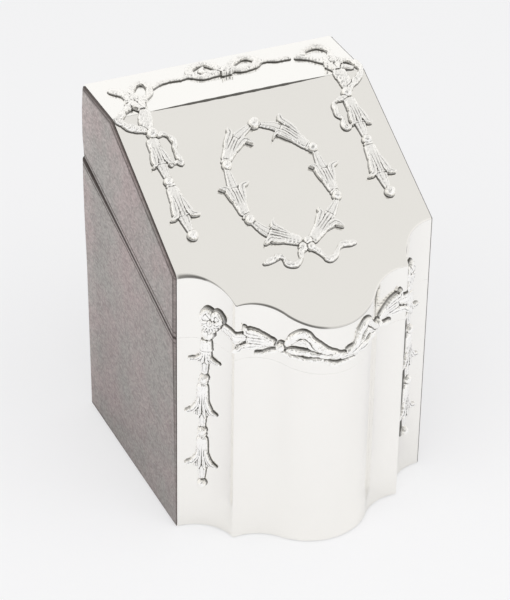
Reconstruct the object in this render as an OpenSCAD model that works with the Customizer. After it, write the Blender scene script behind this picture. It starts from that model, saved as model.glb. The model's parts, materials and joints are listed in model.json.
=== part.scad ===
// Playing card box in the shape of a knife box: a leather covered case with a serpentine silver
// front, and a hinged lid with a flat top, a sloping face and applied ribbon and husk mounts.
// Millimetres, +Z up, front towards -Y. The origin is under the middle of the overall footprint.

/* [Case] */
// Width of the silver front and roof
box_w = 90; // [86:0.5:96]
// Depth from the back to the line through the front corners
corner_d = 78.6; // [74:0.2:86]
// Height of the flat top
back_h = 128.4; // [122:0.2:136]
// Height of the sloping face at the front corners
front_h = 99.4; // [97:0.2:104]
// Depth of the flat top
top_d = 25.6; // [23:0.2:28]

/* [Lid joint] */
// Height of the sawn joint at the back
joint_back_h = 101.5; // [98:0.1:104]
// Height of the sawn joint at the front corners
joint_front_h = 75.8; // [74:0.1:78]
// Open gap left by the saw
joint_gap = 0.3; // [0.2:0.05:0.5]
// Height of the bevel along the back edge of the lid
bevel_h = 2.7; // [2.4:0.1:3.2]
// Depth of the bevel where it meets the joint
bevel_d = 1.9; // [1.8:0.05:2.2]
// Opening at which the back edges meet
stop_angle = 100; // [96:1:104]

/* [Serpentine front] */
// How far the belly stands out from the corner line
belly_out = 26.2; // [24:0.1:28]
// Radius of the belly
belly_r = 20.5; // [19.5:0.1:21.5]
// Radius of the hollows beside the belly
hollow_r = 16.2; // [15.5:0.1:17]
// Radius of the coves behind the corners
cove_r = 14.7; // [14.65:0.05:15.5]
// Width of each cove, from the corner to the cusp
cove_w = 14.6; // [13.8:0.05:14.65]

/* [Walls and skins] */
// Thickness of the side and back boards
wall_t = 5; // [4:0.1:6]
// Thickness of the shaped front
front_t = 6; // [5:0.1:7]
// Thickness of the bottom board
base_t = 6; // [5:0.1:8]
// Thickness of the boards under the flat top and the slope
roof_t = 5; // [4:0.1:6]
// Thickness of the leather
leather_t = 0.9; // [0.6:0.1:1.2]
// How far the leather stands out beside the silver front and roof
edge_out = 1; // [0.6:0.1:1.4]
// Thickness of the silver
silver_t = 0.6; // [0.4:0.1:0.9]
// Thickness of the lining
lining_t = 0.8; // [0.5:0.1:1.2]
// Thickness of the baize under the base
baize_t = 0.5; // [0.4:0.1:0.8]
// How far the baize keeps back from the edges
baize_inset = 1.5; // [1:0.1:3]

/* [Card bays] */
// Gap between the front divider and the shaped front beside the bowed bay
divider_gap = 0.7; // [0.3:0.1:1.5]
// Thickness of the dividers
divider_t = 2.4; // [2:0.1:3]
// Height of the divider between the card bays
rear_divider_h = 70; // [60:0.5:76]
// Height of the divider before the bowed bay
front_divider_h = 62; // [55:0.5:66]
// Radius of the finger scoops
scoop_r = 15; // [12:0.5:18]
// Depth of the finger scoops
scoop_d = 11; // [8:0.5:12]

/* [Hinges] */
// Length of each hinge
hinge_l = 18; // [16:0.5:22]
// Distance of each hinge from the middle
hinge_x = 23; // [20:0.5:28]
// Radius of the knuckles
knuckle_r = 1.1; // [1:0.02:1.12]
// Radius of the hinge pins
pin_r = 0.5; // [0.4:0.05:0.55]
// Running clearance round the pins
pin_fit = 0.05; // [0.03:0.01:0.08]
// Thickness of the hinge leaves
leaf_t = 0.7; // [0.6:0.05:0.8]
// Reach of the leaves from the pin
leaf_w = 5.1; // [4.8:0.05:5.2]
// Gap between neighbouring knuckles
knuckle_gap = 0.1; // [0.05:0.05:0.2]
// Clearance of the knuckles in the lid
knuckle_room = 0.3; // [0.25:0.05:0.4]
// Distance of each screw from the middle of its hinge
screw_side = 5.5; // [5:0.1:6.5]
// Radius of the screw shanks
screw_r = 0.5; // [0.4:0.05:0.55]
// Radius of the screw heads
screw_head_r = 1; // [0.9:0.05:1.1]
// Length of the screws
screw_l = 4; // [3:0.1:4.5]
// Clearance round the screws
screw_fit = 0.05; // [0.03:0.01:0.08]

/* [Mounts on the front] */
// Relief of the mounts on the front
front_relief = 1.2; // [0.8:0.1:1.5]
// Husk length on the front drops
drop_husk_l = 11; // [10:0.1:11.5]
// Length of the first husk, which the joint cuts short
drop_first_l = 7.4; // [6.6:0.1:7.6]
// Distance of each bead below the tips of its husk
drop_bead_v = 7.2; // [6.6:0.1:7.6]
// Radius of the beads on the front drops
drop_bead_r = 1.6; // [1.3:0.1:1.8]
// Husk width on the front drops
drop_husk_w = 10.4; // [9:0.1:11]
// Spacing of the husks down the front
drop_pitch = 20.8; // [20:0.1:22]
// Tips of the first husk below the joint at the corner
drop_tips = 9.2; // [9:0.1:10]
// How far round the cove the drops and rosettes hang, in degrees from the corner
drop_angle = 33; // [30:0.5:36]
// Radius of the rosette lobes on the lid front
rosette_r = 3; // [2.6:0.1:3.2]
// How much further round the cove than the drops the rosettes sit, in degrees
rosette_turn = 5; // [0:0.5:8]
// Height of the festoon knots above the joint
festoon_rise = 5.6; // [5:0.1:6]
// Distance of the festoon knots from the cusps
festoon_from_cusp = 13.4; // [12.5:0.1:14.5]
// How much the mouths of the festoon husks rise above their knots
festoon_husk_rise = 3.8; // [3:0.1:4.5]
// Length of the festoon loops
festoon_loop_l = 12.6; // [11:0.1:13]
// Width of the festoon loops
festoon_loop_w = 5.6; // [5:0.1:6.5]
// How far the middle of the festoon hangs below its knots
festoon_sag = 1.2; // [0.8:0.1:1.6]
// Radius of the small knots on the lid front
small_knot_r = 1.4; // [1.2:0.1:1.6]

/* [Mounts on the slope] */
// Relief of the mounts on the slope and the top
roof_relief = 1.4; // [0.8:0.1:1.6]
// Distance of the pendants from the middle
pendant_x = 35.1; // [33:0.1:36]
// Distance of the pendant knots below the crease
pendant_v = 6.6; // [6:0.1:8]
// Length of the pendant husks
pendant_husk_l = 11.3; // [10:0.1:12]
// Width of the upper pendant husks
pendant_upper_w = 6.6; // [6:0.1:8]
// Width of the lower pendant husks
pendant_lower_w = 10; // [9:0.1:10.6]
// Spacing of the two pendant husks
pendant_pitch = 19.7; // [19:0.1:21]
// Half width of the oval wreath
wreath_rx = 17.3; // [16:0.1:18]
// Half length of the oval wreath
wreath_rv = 22.8; // [21:0.1:24]
// Distance of the middle of the wreath below the crease
wreath_v = 35.5; // [34:0.1:37]
// Width of the wreath husks
wreath_husk_w = 10; // [8:0.1:10.6]
// Width of the ribbons
ribbon_w = 2; // [1.6:0.1:2.4]
// Radius of the small beads
bead_r = 1.6; // [1.4:0.1:1.8]
// Radius of the beads at the ends of the pendants and on the wreath
end_bead_r = 1.9; // [1.6:0.1:2.1]
// Radius of the ribbon knots
knot_r = 2.4; // [2:0.1:2.6]
// Distance of the end beads below the pendant husks
pendant_bead_v = 7; // [6.5:0.1:7.5]
// Reach of the ribbon loop beside each pendant
pendant_loop_w = 6.4; // [6:0.1:7]
// Distance of the corner bows from the middle
bow_x = 35.2; // [34:0.1:36]
// Distance of the corner bows from the back edge
bow_back = 17; // [15.5:0.1:18]
// Length of the corner bow loops
bow_loop_l = 12; // [11:0.1:13]
// Width of the corner bow loops
bow_loop_w = 6.4; // [6:0.1:7]
// How far the outer tail of a corner bow spreads at the crease
bow_spread = 7.4; // [6.8:0.1:8]
// Distance of the middle knot of the top ribbon from the back edge
top_knot_back = 11.4; // [10.5:0.1:12.5]
// Length of the loops of the top ribbon
top_loop_l = 14; // [13:0.1:15]
// Width of the loops of the top ribbon
top_loop_w = 7.4; // [6.8:0.1:8]
// Turn of the loops of the top ribbon away from the width of the box, in degrees
top_loop_turn = 24; // [18:1:28]
// Reach of the tails of the bow under the wreath
tail_reach = 16.8; // [16:0.1:18]

/* [Hidden] */
$fn = 48;

// The origin is under the middle of everything, the relief on the belly included
y_front = (belly_out + front_relief - corner_d) / 2;
y_back = y_front + corner_d;
half_w = box_w / 2;

// Insets of the layers, measured from the outer faces of the silver and of the back
skin_in = leather_t - edge_out;
wall_in = leather_t + wall_t;
side_in = wall_in + lining_t;
front_in = silver_t + front_t;
bow_in = front_in + lining_t;
roof_in = silver_t + roof_t;
roof_lining_in = roof_in + lining_t;
floor_z = baize_t + base_t;
floor_top = floor_z + lining_t;

// The two card bays share the depth behind the bowed bay
bay_d = (corner_d - side_in - bow_in - divider_gap) / 2 - divider_t;

// Slopes of the lid joint and of the sloping face
joint_slope = (joint_back_h - joint_front_h) / corner_d;
joint_angle = atan(joint_slope);
roof_slope = (back_h - front_h) / (corner_d - top_d);
roof_angle = atan(roof_slope);
y_crease = y_back - top_d;

// Centres of the arcs of the front, as [x, distance out from the corner line]
belly_c = [0, belly_out - belly_r];
cove_c = [half_w, cove_r];
cusp_x = half_w - cove_w;
cusp = [cusp_x, cove_r - sqrt(pow(cove_r, 2) - pow(cove_w, 2))];
// The belly and the hollow cross by a hair where they meet, which keeps the corner between them definite
arc_cross = 0.02;
arc_reach = belly_r + hollow_r - arc_cross;
cusp_d = norm(cusp - belly_c);
cusp_dir = (cusp - belly_c) / cusp_d;
hollow_along = (pow(arc_reach, 2) - pow(hollow_r, 2) + pow(cusp_d, 2)) / (2 * cusp_d);
hollow_aside = sqrt(pow(arc_reach, 2) - pow(hollow_along, 2));
hollow_c = belly_c + hollow_along * cusp_dir + hollow_aside * [-cusp_dir[1], cusp_dir[0]];

// The hinge pin lies where the back edges of the lid and the case meet at the stop angle
hinge_up = bevel_h / 2;
hinge_in = hinge_up / tan(stop_angle / 2);
hinge_y = y_back - hinge_in;
hinge_z = joint_back_h + hinge_up;
joint_drop = (hinge_up + hinge_in * joint_slope) * cos(joint_angle);
lid_drop = joint_drop - joint_gap * cos(joint_angle);
knuckles = 5;
knuckle_l = hinge_l / knuckles;
leaf_gap = 0.1;
web_front = knuckle_r - pin_fit;
web_back = pin_r + pin_fit;
lid_web_front = knuckle_r + 2 * leaf_gap;
screw_at = (leaf_w + knuckle_r + knuckle_room) / 2;
slot_w = screw_r / 2;
slot_d = screw_r * 0.4;

// Reach of shapes that only cut
past = 5;

// Gap between mounts that meet
mount_gap = 0.05;

// Place of the festoon knots, and how far the festoon husks keep from the cusps
festoon_knot_x = cusp_x - festoon_from_cusp;
festoon_z = joint_z(y_front - belly_out * 0.65) + festoon_rise;
cusp_gap = 0.9;

silver_c = [0.93, 0.92, 0.9];
leather_c = [0.64, 0.6, 0.58];
wood_c = [0.55, 0.36, 0.22];
velvet_c = [0.35, 0.1, 0.14];
brass_c = [0.83, 0.68, 0.4];
baize_c = [0.2, 0.3, 0.24];

function joint_z(y) = joint_front_h + (y - y_front) * joint_slope;
function slope_z(y, inset) = front_h + (y - y_front) * roof_slope - inset / cos(roof_angle);
function crease_y(inset) = y_front + (back_h - inset - slope_z(y_front, inset)) / roof_slope;
function mirrored(points) = [for (i = [len(points) - 1 : -1 : 0]) [-points[i][0], points[i][1]]];

y_low = y_front - belly_out - past;
y_high = y_back + past;

// Plan of the case, set in from the front, the sides and the back
module plan(front_inset, side_inset, back_inset) {
    x = half_w - side_inset;
    meet_out = belly_c[1] + (belly_r - front_inset) * (hollow_c[1] - belly_c[1]) / arc_reach;
    translate([0, y_front])
        mirror([0, 1])
            difference() {
                union() {
                    translate([-x, back_inset - corner_d])
                        square([2 * x, corner_d - back_inset + meet_out]);
                    translate(belly_c)
                        circle(belly_r - front_inset, $fn = 120);
                }
                for (side = [-1, 1]) {
                    translate([side * hollow_c[0], hollow_c[1]])
                        circle(hollow_r + front_inset, $fn = 120);
                    translate([side * cove_c[0], cove_c[1]])
                        circle(cove_r + front_inset, $fn = 120);
                }
            }
}

// Column over a plan, tall enough to be cut to any height here
module column(front_inset, side_inset, back_inset) {
    translate([0, 0, -past])
        linear_extrude(back_h + 2 * past)
            plan(front_inset, side_inset, back_inset);
}

// Solid with the given side view, right across the case
module across(points, width = box_w + 2 * past) {
    rotate([90, 0, 90])
        linear_extrude(width, center = true)
            polygon(points);
}

// Everything below the lid joint and above a height
module below_joint(bottom) {
    across([[y_low, bottom], [y_high, bottom], [y_high, joint_z(y_high)], [y_low, joint_z(y_low)]]);
}

// Everything above the lid joint and below the roof, which is set in by the inset
module under_roof(inset) {
    across([
        [y_low, joint_z(y_low) + joint_gap],
        [y_high, joint_z(y_high) + joint_gap],
        [y_high, back_h - inset],
        [crease_y(inset), back_h - inset],
        [y_low, slope_z(y_low, inset)]
    ]);
}

// A layer of the roof between two insets, under the flat top or under the slope
module top_layer(outer, inner, back) {
    across([
        [crease_y(outer), back_h - outer],
        [crease_y(inner), back_h - inner],
        [back, back_h - inner],
        [back, back_h - outer]
    ]);
}

module slope_layer(outer, inner) {
    across([
        [crease_y(outer), back_h - outer],
        [crease_y(inner), back_h - inner],
        [y_low, slope_z(y_low, inner)],
        [y_low, slope_z(y_low, outer)]
    ]);
}

// Box between two x, two y and two z values
module block(x0, x1, y0, y1, z0, z1) {
    translate([x0, y0, z0])
        cube([x1 - x0, y1 - y0, z1 - z0]);
}

// What the bevel takes off the back edge of the lid
module lid_bevel() {
    low = [y_back - bevel_d, joint_z(y_back - bevel_d) + joint_gap];
    high = [y_back, joint_back_h + bevel_h];
    run = (high - low) * 0.5;
    across([low - run, high + run, [high[0] + run[0], low[1] - run[1]]]);
}

// The shaped wood front, with flat shoulders behind the corners for the side boards
module front_board() {
    difference() {
        intersection() {
            column(silver_t, skin_in, 0);
            block(skin_in - half_w, half_w - skin_in, y_low, y_front + front_in, -past, back_h + past);
        }
        column(front_in, wall_in, -past);
    }
}

module side_board(side) {
    x0 = side < 0 ? skin_in - half_w : half_w - wall_in;
    block(x0, x0 + wall_in - skin_in, y_front + front_in, y_back - leather_t, floor_z, back_h);
}

module back_board() {
    block(wall_in - half_w, half_w - wall_in, y_back - wall_in, y_back - leather_t, floor_z, back_h);
}

// One sheet of leather round the left side, the back and the right side
module leather_wrap() {
    difference() {
        block(-half_w - edge_out, half_w + edge_out, y_front + silver_t, y_back, baize_t, back_h);
        block(skin_in - half_w, half_w - skin_in, y_low, y_back - leather_t, 0, back_h + past);
    }
}

module silver_front() {
    difference() {
        column(0, 0, 0);
        column(silver_t, -past, -past);
    }
}

module side_lining(side) {
    x0 = side < 0 ? wall_in - half_w : half_w - side_in;
    intersection() {
        column(bow_in, wall_in, side_in);
        block(x0, x0 + lining_t, y_low, y_back - side_in, floor_top, back_h);
    }
}

module back_lining() {
    block(wall_in - half_w, half_w - wall_in, y_back - side_in, y_back - wall_in, floor_top, back_h);
}

module bow_lining() {
    intersection() {
        difference() {
            column(front_in, wall_in, 0);
            column(bow_in, 0, -past);
        }
        block(-half_w, half_w, y_low, y_front + bow_in, floor_top, back_h);
    }
}

// Hinges. In the hinge frame the pin is the X axis and -Y runs down along the lid joint
module hinge_frame(side) {
    translate([side * hinge_x, hinge_y, hinge_z])
        rotate([joint_angle, 0, 0])
            children();
}

module along_x(radius, length) {
    rotate([0, 90, 0])
        cylinder(r = radius, h = length, center = true);
}

function knuckle_x(i) = (i - (knuckles - 1) / 2) * knuckle_l;

module screw_places() {
    for (x = [-screw_side, screw_side])
        translate([x, -screw_at, 0])
            children();
}

// A countersunk screw pointing down from its flush head, or the hole for it
module screw(room = 0) {
    head_h = leaf_t - leaf_gap;
    translate([0, 0, -head_h])
        cylinder(r1 = screw_r + room, r2 = screw_head_r + room, h = head_h);
    translate([0, 0, -screw_l - room])
        cylinder(r = screw_r + room, h = screw_l - head_h + 2 * room);
}

module slotted_screw() {
    difference() {
        screw();
        translate([-screw_head_r, -slot_w / 2, -slot_d])
            cube([2 * screw_head_r, slot_w, slot_d + 1]);
    }
}

// Leaf, knuckles and webs. The lid has the even knuckles and the case the odd ones
module leaf(drop, up, parity, front_reach) {
    length = knuckle_l - knuckle_gap;
    bottom = up > 0 ? -drop : -drop - leaf_t;
    difference() {
        union() {
            translate([-hinge_l / 2, -leaf_w, bottom])
                cube([hinge_l, leaf_w - front_reach, leaf_t]);
            for (i = [0 : knuckles - 1])
                if (i % 2 == parity)
                    translate([knuckle_x(i), 0, 0]) {
                        along_x(knuckle_r, length);
                        translate([-length / 2, -leaf_w / 2, bottom])
                            cube([length, leaf_w / 2 - web_back, leaf_t]);
                        if (up < 0)
                            translate([-length / 2, -web_front, bottom])
                                cube([length, web_front - web_back, -bottom - pin_r]);
                    }
        }
        along_x(pin_r + pin_fit, hinge_l + 2 * past);
        screw_places()
            translate([0, 0, -drop])
                mirror([0, 0, up > 0 ? 1 : 0])
                    screw(screw_fit);
    }
}

// Recess for the case leaf and its screws
module box_mortise() {
    for (side = [-1, 1])
        hinge_frame(side) {
            translate([-hinge_l / 2, -leaf_w, -joint_drop - leaf_t])
                cube([hinge_l, leaf_w - web_back, 2 * leaf_t]);
            screw_places()
                translate([0, 0, -joint_drop])
                    screw(screw_fit);
        }
}

// Room in the lid for its leaf, the knuckles and the screws
module lid_mortise() {
    for (side = [-1, 1])
        hinge_frame(side) {
            along_x(knuckle_r + knuckle_room, hinge_l + 2 * knuckle_room);
            translate([-hinge_l / 2, -leaf_w, -lid_drop - leaf_t])
                cube([hinge_l, leaf_w, 2 * leaf_t]);
            screw_places()
                translate([0, 0, -lid_drop])
                    mirror([0, 0, 1])
                        screw(screw_fit);
        }
}

module divider(y, height) {
    top = floor_top + height;
    difference() {
        block(side_in - half_w, half_w - side_in, y, y + divider_t, floor_top, top);
        translate([0, y + divider_t / 2, top + scoop_r - scoop_d])
            rotate([90, 0, 0])
                cylinder(r = scoop_r, h = 2 * divider_t, center = true, $fn = 96);
    }
}

// Places on the roof: +X right, +Y up the slope or backwards, +Z out of the surface
module on_slope(x, down, spin = 0) {
    translate([0, y_crease, back_h])
        rotate([roof_angle, 0, 0])
            translate([x, -down, 0])
                rotate([0, 0, spin])
                    children();
}

module on_top(x, from_back, spin = 0) {
    translate([x, y_back - from_back, back_h])
        rotate([0, 0, spin])
            children();
}

// Smooth curve through points, with a number of steps to each span
function through(p, i, t) =
    let (
        a = p[max(i - 1, 0)], b = p[i], c = p[i + 1], d = p[min(i + 2, len(p) - 1)]
    )
    0.5 * (2 * b + (c - a) * t + (2 * a - 5 * b + 4 * c - d) * t * t
        + (3 * b - a - 3 * c + d) * t * t * t);
function curve(p, steps) = concat(
    [for (i = [0 : len(p) - 2]) for (k = [0 : steps - 1]) through(p, i, k / steps)],
    [p[len(p) - 1]]);
function tangent(p, i) =
    let (d = p[min(i + 1, len(p) - 1)] - p[max(i - 1, 0)])
    d / norm(d);
function beside(p, i, w) = p[i] + w * [-tangent(p, i)[1], tangent(p, i)[0]];

// Flat ribbon along a curve, full in the middle and a little narrower at its ends
module strip(points, w, steps = 4) {
    p = curve(points, steps);
    n = len(p) - 1;
    function half(i) = w / 2 * (0.6 + 0.4 * sin(180 * i / n));
    polygon(concat(
        [for (i = [0 : n]) beside(p, i, half(i))],
        [for (i = [n : -1 : 0]) beside(p, i, -half(i))]));
}

// Open loop of ribbon, an oval ring that leaves the origin along +X
module loop(length, width, w) {
    sides = 24;
    a = length / 2;
    b = width / 2;
    angles = [for (i = [0 : sides - 1]) 360 * i / sides];
    translate([a, 0])
        difference() {
            polygon([for (t = angles) [a * cos(t), b * sin(t)]]);
            polygon([for (t = angles) [(a - w) * cos(t), (b - w * 0.8) * sin(t)]]);
        }
}

// Outline of a husk that hangs down -Y from a narrow top, with two curled tips
function husk_side(t) = 0.12 + 0.11 * sin(90 * min(1, 3 * t)) + 0.27 * pow(t, 6);
function husk_edge(l, w) = concat(
    [for (t = [0 : 1 / 8 : 1]) [w * husk_side(t), -l * 0.95 * t]],
    [[w * 0.5, -l], [w * 0.38, -l * 0.99], [w * 0.27, -l * 0.93], [w * 0.18, -l * 0.83]]);
module husk_outline(l, w) {
    edge = husk_edge(l, w);
    polygon(concat(edge, mirrored(edge)));
}
// The middle petal and the pistil under it, down to where the bead sits
module husk_tongue(l, w, reach) {
    strip([[0, -l * 0.2], [0, -l * 0.9], [0, -l - reach]], w * 0.22, 2);
}
module husk_ridge(l, w) {
    for (side = [-1, 1])
        strip([
            [side * w * 0.06, -l * 0.1],
            [side * w * 0.15, -l * 0.5],
            [side * w * 0.22, -l * 0.78],
            [side * w * 0.42, -l * 0.95]
        ], w * 0.12, 2);
}
module husk_cap(w) {
    circle(w * 0.17);
}

// Husk in steps of relief on a flat face
module husk(l, w, relief, reach) {
    linear_extrude(relief * 0.5)
        husk_outline(l, w);
    linear_extrude(relief * 0.75)
        husk_ridge(l, w);
    linear_extrude(relief * 0.9)
        husk_tongue(l, w, reach);
    linear_extrude(relief)
        husk_cap(w);
}

// Half bead on a flat face
module bead(r) {
    intersection() {
        translate([0, 0, r * 0.2])
            sphere(r);
        linear_extrude(2 * r)
            circle(2 * r);
    }
}

// Shell over the front, from the silver out to a height
module front_shell(height, z0, z1) {
    translate([0, 0, z0])
        linear_extrude(z1 - z0)
            difference() {
                plan(-height, -past, 0);
                plan(0, -2 * past, -past);
            }
}

// Place on a cove: +X round it, +Y up, +Z out of the surface
module on_cove(side, angle, z) {
    translate([side * (half_w - cove_r * sin(angle)), y_front - cove_r + cove_r * cos(angle), z])
        rotate([90, 0, side * angle])
            children();
}

// Place on the front, square to the case: +X right, +Y up
module on_front(z) {
    translate([0, y_front - belly_out / 2, z])
        rotate([90, 0, 0])
            children();
}

module relief_slab(depth) {
    linear_extrude(depth, center = true)
        children();
}

// One layer of relief on a cove, cut from a slab that is square to the cove there
module cove_layer(side, angle, z, level, above, below) {
    intersection() {
        front_shell(front_relief * level, z - below, z + above);
        on_cove(side, angle, z)
            relief_slab(cove_r)
                children();
    }
}

// Three husks with their beads, hanging down a cove. The joint cuts the first one short
module front_drop(side) {
    for (i = [0 : 2]) {
        tips_z = joint_front_h - drop_tips - i * drop_pitch;
        l = i == 0 ? drop_first_l : drop_husk_l;
        z = tips_z + l;
        bead_v = l + drop_bead_v;
        reach = drop_pitch - (i < 2 ? drop_husk_l : 0);
        low = i < 2 ? l + reach : bead_v + drop_bead_r;
        cove_layer(side, drop_angle, z, 0.5, 0, low)
            husk_outline(l, drop_husk_w);
        cove_layer(side, drop_angle, z, 0.75, 0, low)
            husk_ridge(l, drop_husk_w);
        cove_layer(side, drop_angle, z, 0.9, 0, low)
            husk_tongue(l, drop_husk_w, i < 2 ? reach : drop_bead_v);
        cove_layer(side, drop_angle, z, 1, 0, low) {
            translate([0, -drop_husk_w * 0.15])
                husk_cap(drop_husk_w);
            translate([0, -bead_v])
                circle(drop_bead_r);
        }
    }
}

// Bow of two lobes on the lid front, above a front drop
module rosette(side) {
    z = joint_z(y_front) + festoon_rise + rosette_r;
    angle = drop_angle + rosette_turn;
    reach = 2 * rosette_r;
    cove_layer(side, angle, z, 0.75, reach, reach)
        for (lobe = [0, 1])
            mirror([lobe, 0])
                rotate(20)
                    translate([-rosette_r * 0.25, 0])
                        loop(rosette_r * 2, rosette_r * 2.3, rosette_r * 0.45);
    cove_layer(side, angle, z, 1, reach, reach)
        circle(rosette_r * 0.5);
}

// Ribbon festoon over the belly with a husk at each end
module festoon_shapes(level) {
    run = [festoon_from_cusp - cusp_gap, festoon_husk_rise];
    for (side = [0, 1])
        mirror([side, 0]) {
            translate([festoon_knot_x, festoon_z]) {
                rotate(atan2(run[0], -run[1])) {
                    if (level == 0)
                        husk_outline(norm(run), drop_husk_w);
                    if (level == 1) {
                        husk_ridge(norm(run), drop_husk_w);
                        husk_tongue(norm(run), drop_husk_w, 0);
                    }
                }
                if (level == 1)
                    rotate(148)
                        loop(festoon_loop_l, festoon_loop_w, ribbon_w * 0.75);
                if (level == 2)
                    circle(small_knot_r);
            }
            if (level == 1)
                strip([
                    [festoon_knot_x, festoon_z],
                    [festoon_knot_x * 0.56, festoon_z - festoon_sag * 1.3],
                    [0, festoon_z - festoon_sag]
                ], ribbon_w);
        }
    if (level == 2)
        translate([0, festoon_z - festoon_sag])
            circle(small_knot_r);
}

module festoon() {
    low = festoon_z - drop_husk_w;
    high = festoon_z + drop_husk_w;
    for (level = [0 : 2])
        intersection() {
            front_shell(front_relief * [0.5, 0.8, 1][level], low, high);
            on_front(0)
                relief_slab(3 * belly_out)
                    festoon_shapes(level);
        }
}

// The right one of a pair, or its mirror image on the left
module of_pair(side) {
    mirror([side < 0 ? 1 : 0, 0, 0])
        children();
}

// Knot, two husks with their beads and a side loop, hanging down the slope
module pendant(side) {
    upper = pendant_v + knot_r * 1.4;
    lower = upper + pendant_pitch;
    of_pair(side) {
        on_slope(pendant_x, pendant_v) {
            bead(bead_r);
            linear_extrude(roof_relief * 0.5)
                translate([0, -knot_r])
                    square([bead_r, 2 * knot_r], center = true);
        }
        on_slope(pendant_x, upper) {
            husk(pendant_husk_l, pendant_upper_w, roof_relief, pendant_pitch - pendant_husk_l);
            linear_extrude(roof_relief * 0.7)
                strip(pendant_loop_w * [
                    [0, 0.2], [-0.72, 0.2], [-1, -0.36], [-0.8, -1.06], [-0.88, -1.74]
                ], ribbon_w);
        }
        on_slope(pendant_x, lower - bead_r * 1.5)
            bead(bead_r);
        on_slope(pendant_x, lower) {
            husk(pendant_husk_l, pendant_lower_w, roof_relief, pendant_bead_v);
            translate([0, -pendant_husk_l - pendant_bead_v])
                bead(end_bead_r);
        }
    }
}

// Bow on the top above a pendant, with two tails over the crease that meet at the pendant's knot
module corner_bow(side) {
    to_crease = top_d - bow_back;
    of_pair(side) {
        on_top(bow_x, bow_back) {
            bead(knot_r);
            linear_extrude(roof_relief * 0.8) {
                rotate(68)
                    loop(bow_loop_l, bow_loop_w, ribbon_w);
                rotate(144)
                    loop(bow_loop_l * 0.9, bow_loop_w, ribbon_w);
            }
            linear_extrude(roof_relief * 0.7) {
                strip([[0, 0], [bow_spread * 0.4, -to_crease * 0.6], [bow_spread, -to_crease]],
                    ribbon_w * 1.4, 2);
                strip([[0, 0], [-bow_spread * 0.15, -to_crease * 0.4], [-bow_spread * 0.3, -to_crease]],
                    ribbon_w * 1.4, 2);
            }
        }
        on_slope(pendant_x, pendant_v)
            linear_extrude(roof_relief * 0.7)
                difference() {
                    for (x = [bow_spread, -bow_spread * 0.3])
                        strip([
                            [bow_x - pendant_x + x, pendant_v],
                            [(bow_x - pendant_x + x) * 0.9, pendant_v * 0.55],
                            [0, 0]
                        ], ribbon_w, 2);
                    circle(bead_r + mount_gap);
                    translate([-past, -past])
                        square([2 * past, past]);
                }
    }
}

// Knot and loops in the middle of the top, with a ribbon that winds to each corner bow
module ribbon_top() {
    on_top(0, top_knot_back)
        bead(knot_r);
    for (side = [-1, 1])
        of_pair(side)
            on_top(0, top_knot_back) {
                linear_extrude(roof_relief * 0.8)
                    rotate(top_loop_turn)
                        loop(top_loop_l, top_loop_w, ribbon_w);
                linear_extrude(roof_relief * 0.6)
                    strip([
                        (top_loop_l - ribbon_w / 2) * [cos(top_loop_turn), sin(top_loop_turn)],
                        top_loop_l * [1.1, 0.12],
                        top_loop_l * [1.5, 0.03],
                        [bow_x - bow_loop_l * 0.85, -top_knot_back * 0.14]
                    ], ribbon_w * 0.8);
            }
}

// Oval of husks: three up each side, each from a bead, with thin stems between
module oval_wreath() {
    function oval(a) = [wreath_rx * sin(a), wreath_rv * cos(a)];
    feet = [66, 118, 180];
    mouths = [30, 84, 136];
    on_slope(0, wreath_v) {
        for (side = [-1, 1])
            of_pair(side) {
                linear_extrude(roof_relief * 0.45)
                    strip([for (a = [0 : 15 : 180]) oval(a)], ribbon_w * 0.65, 2);
                for (i = [0 : 2]) {
                    run = oval(mouths[i]) - oval(feet[i]);
                    translate(oval(feet[i]))
                        rotate(atan2(run[0], -run[1]))
                            husk(norm(run), wreath_husk_w, roof_relief, 0);
                    if (i < 2)
                        translate(oval(feet[i]))
                            bead(bead_r);
                }
            }
        translate(oval(0))
            bead(end_bead_r);
    }
}

// Bow under the wreath, with two waving tails
module ribbon_bow() {
    waves = [[0, -0.06], [0.26, -0.39], [0.45, -0.44], [0.62, -0.25], [0.83, -0.26], [1, -0.31]];
    on_slope(0, wreath_v + wreath_rv) {
        bead(knot_r);
        for (side = [-1, 1])
            of_pair(side)
                linear_extrude(roof_relief * 0.7) {
                    strip(tail_reach * [[0, 0], [0.3, 0.08], [0.54, 0.04], [0.75, 0.12]], ribbon_w);
                    strip(tail_reach * waves, ribbon_w);
                }
    }
}

// Pieces of the case
module base_baize() {
    color(baize_c)
        linear_extrude(baize_t)
            plan(baize_inset, baize_inset, baize_inset);
}
module base_board() {
    color(wood_c)
        translate([0, 0, baize_t])
            linear_extrude(base_t)
                plan(silver_t, skin_in, leather_t);
}
module box_left_board() {
    color(wood_c)
        intersection() {
            side_board(-1);
            below_joint(floor_z);
        }
}
module box_right_board() {
    color(wood_c)
        intersection() {
            side_board(1);
            below_joint(floor_z);
        }
}
module box_back_board() {
    color(wood_c)
        difference() {
            intersection() {
                back_board();
                below_joint(floor_z);
            }
            box_mortise();
        }
}
module box_front_board() {
    color(wood_c)
        intersection() {
            front_board();
            below_joint(floor_z);
        }
}
module box_leather() {
    color(leather_c)
        intersection() {
            leather_wrap();
            below_joint(baize_t);
        }
}
module box_front_silver() {
    color(silver_c)
        intersection() {
            silver_front();
            below_joint(baize_t);
        }
}
module left_front_drop() {
    color(silver_c)
        front_drop(-1);
}
module right_front_drop() {
    color(silver_c)
        front_drop(1);
}
module box_floor_lining() {
    color(velvet_c)
        translate([0, 0, floor_z])
            linear_extrude(lining_t)
                plan(front_in, wall_in, wall_in);
}
module box_left_lining() {
    color(velvet_c)
        intersection() {
            side_lining(-1);
            below_joint(floor_top);
        }
}
module box_right_lining() {
    color(velvet_c)
        intersection() {
            side_lining(1);
            below_joint(floor_top);
        }
}
module box_back_lining() {
    color(velvet_c)
        intersection() {
            back_lining();
            below_joint(floor_top);
        }
}
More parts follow.
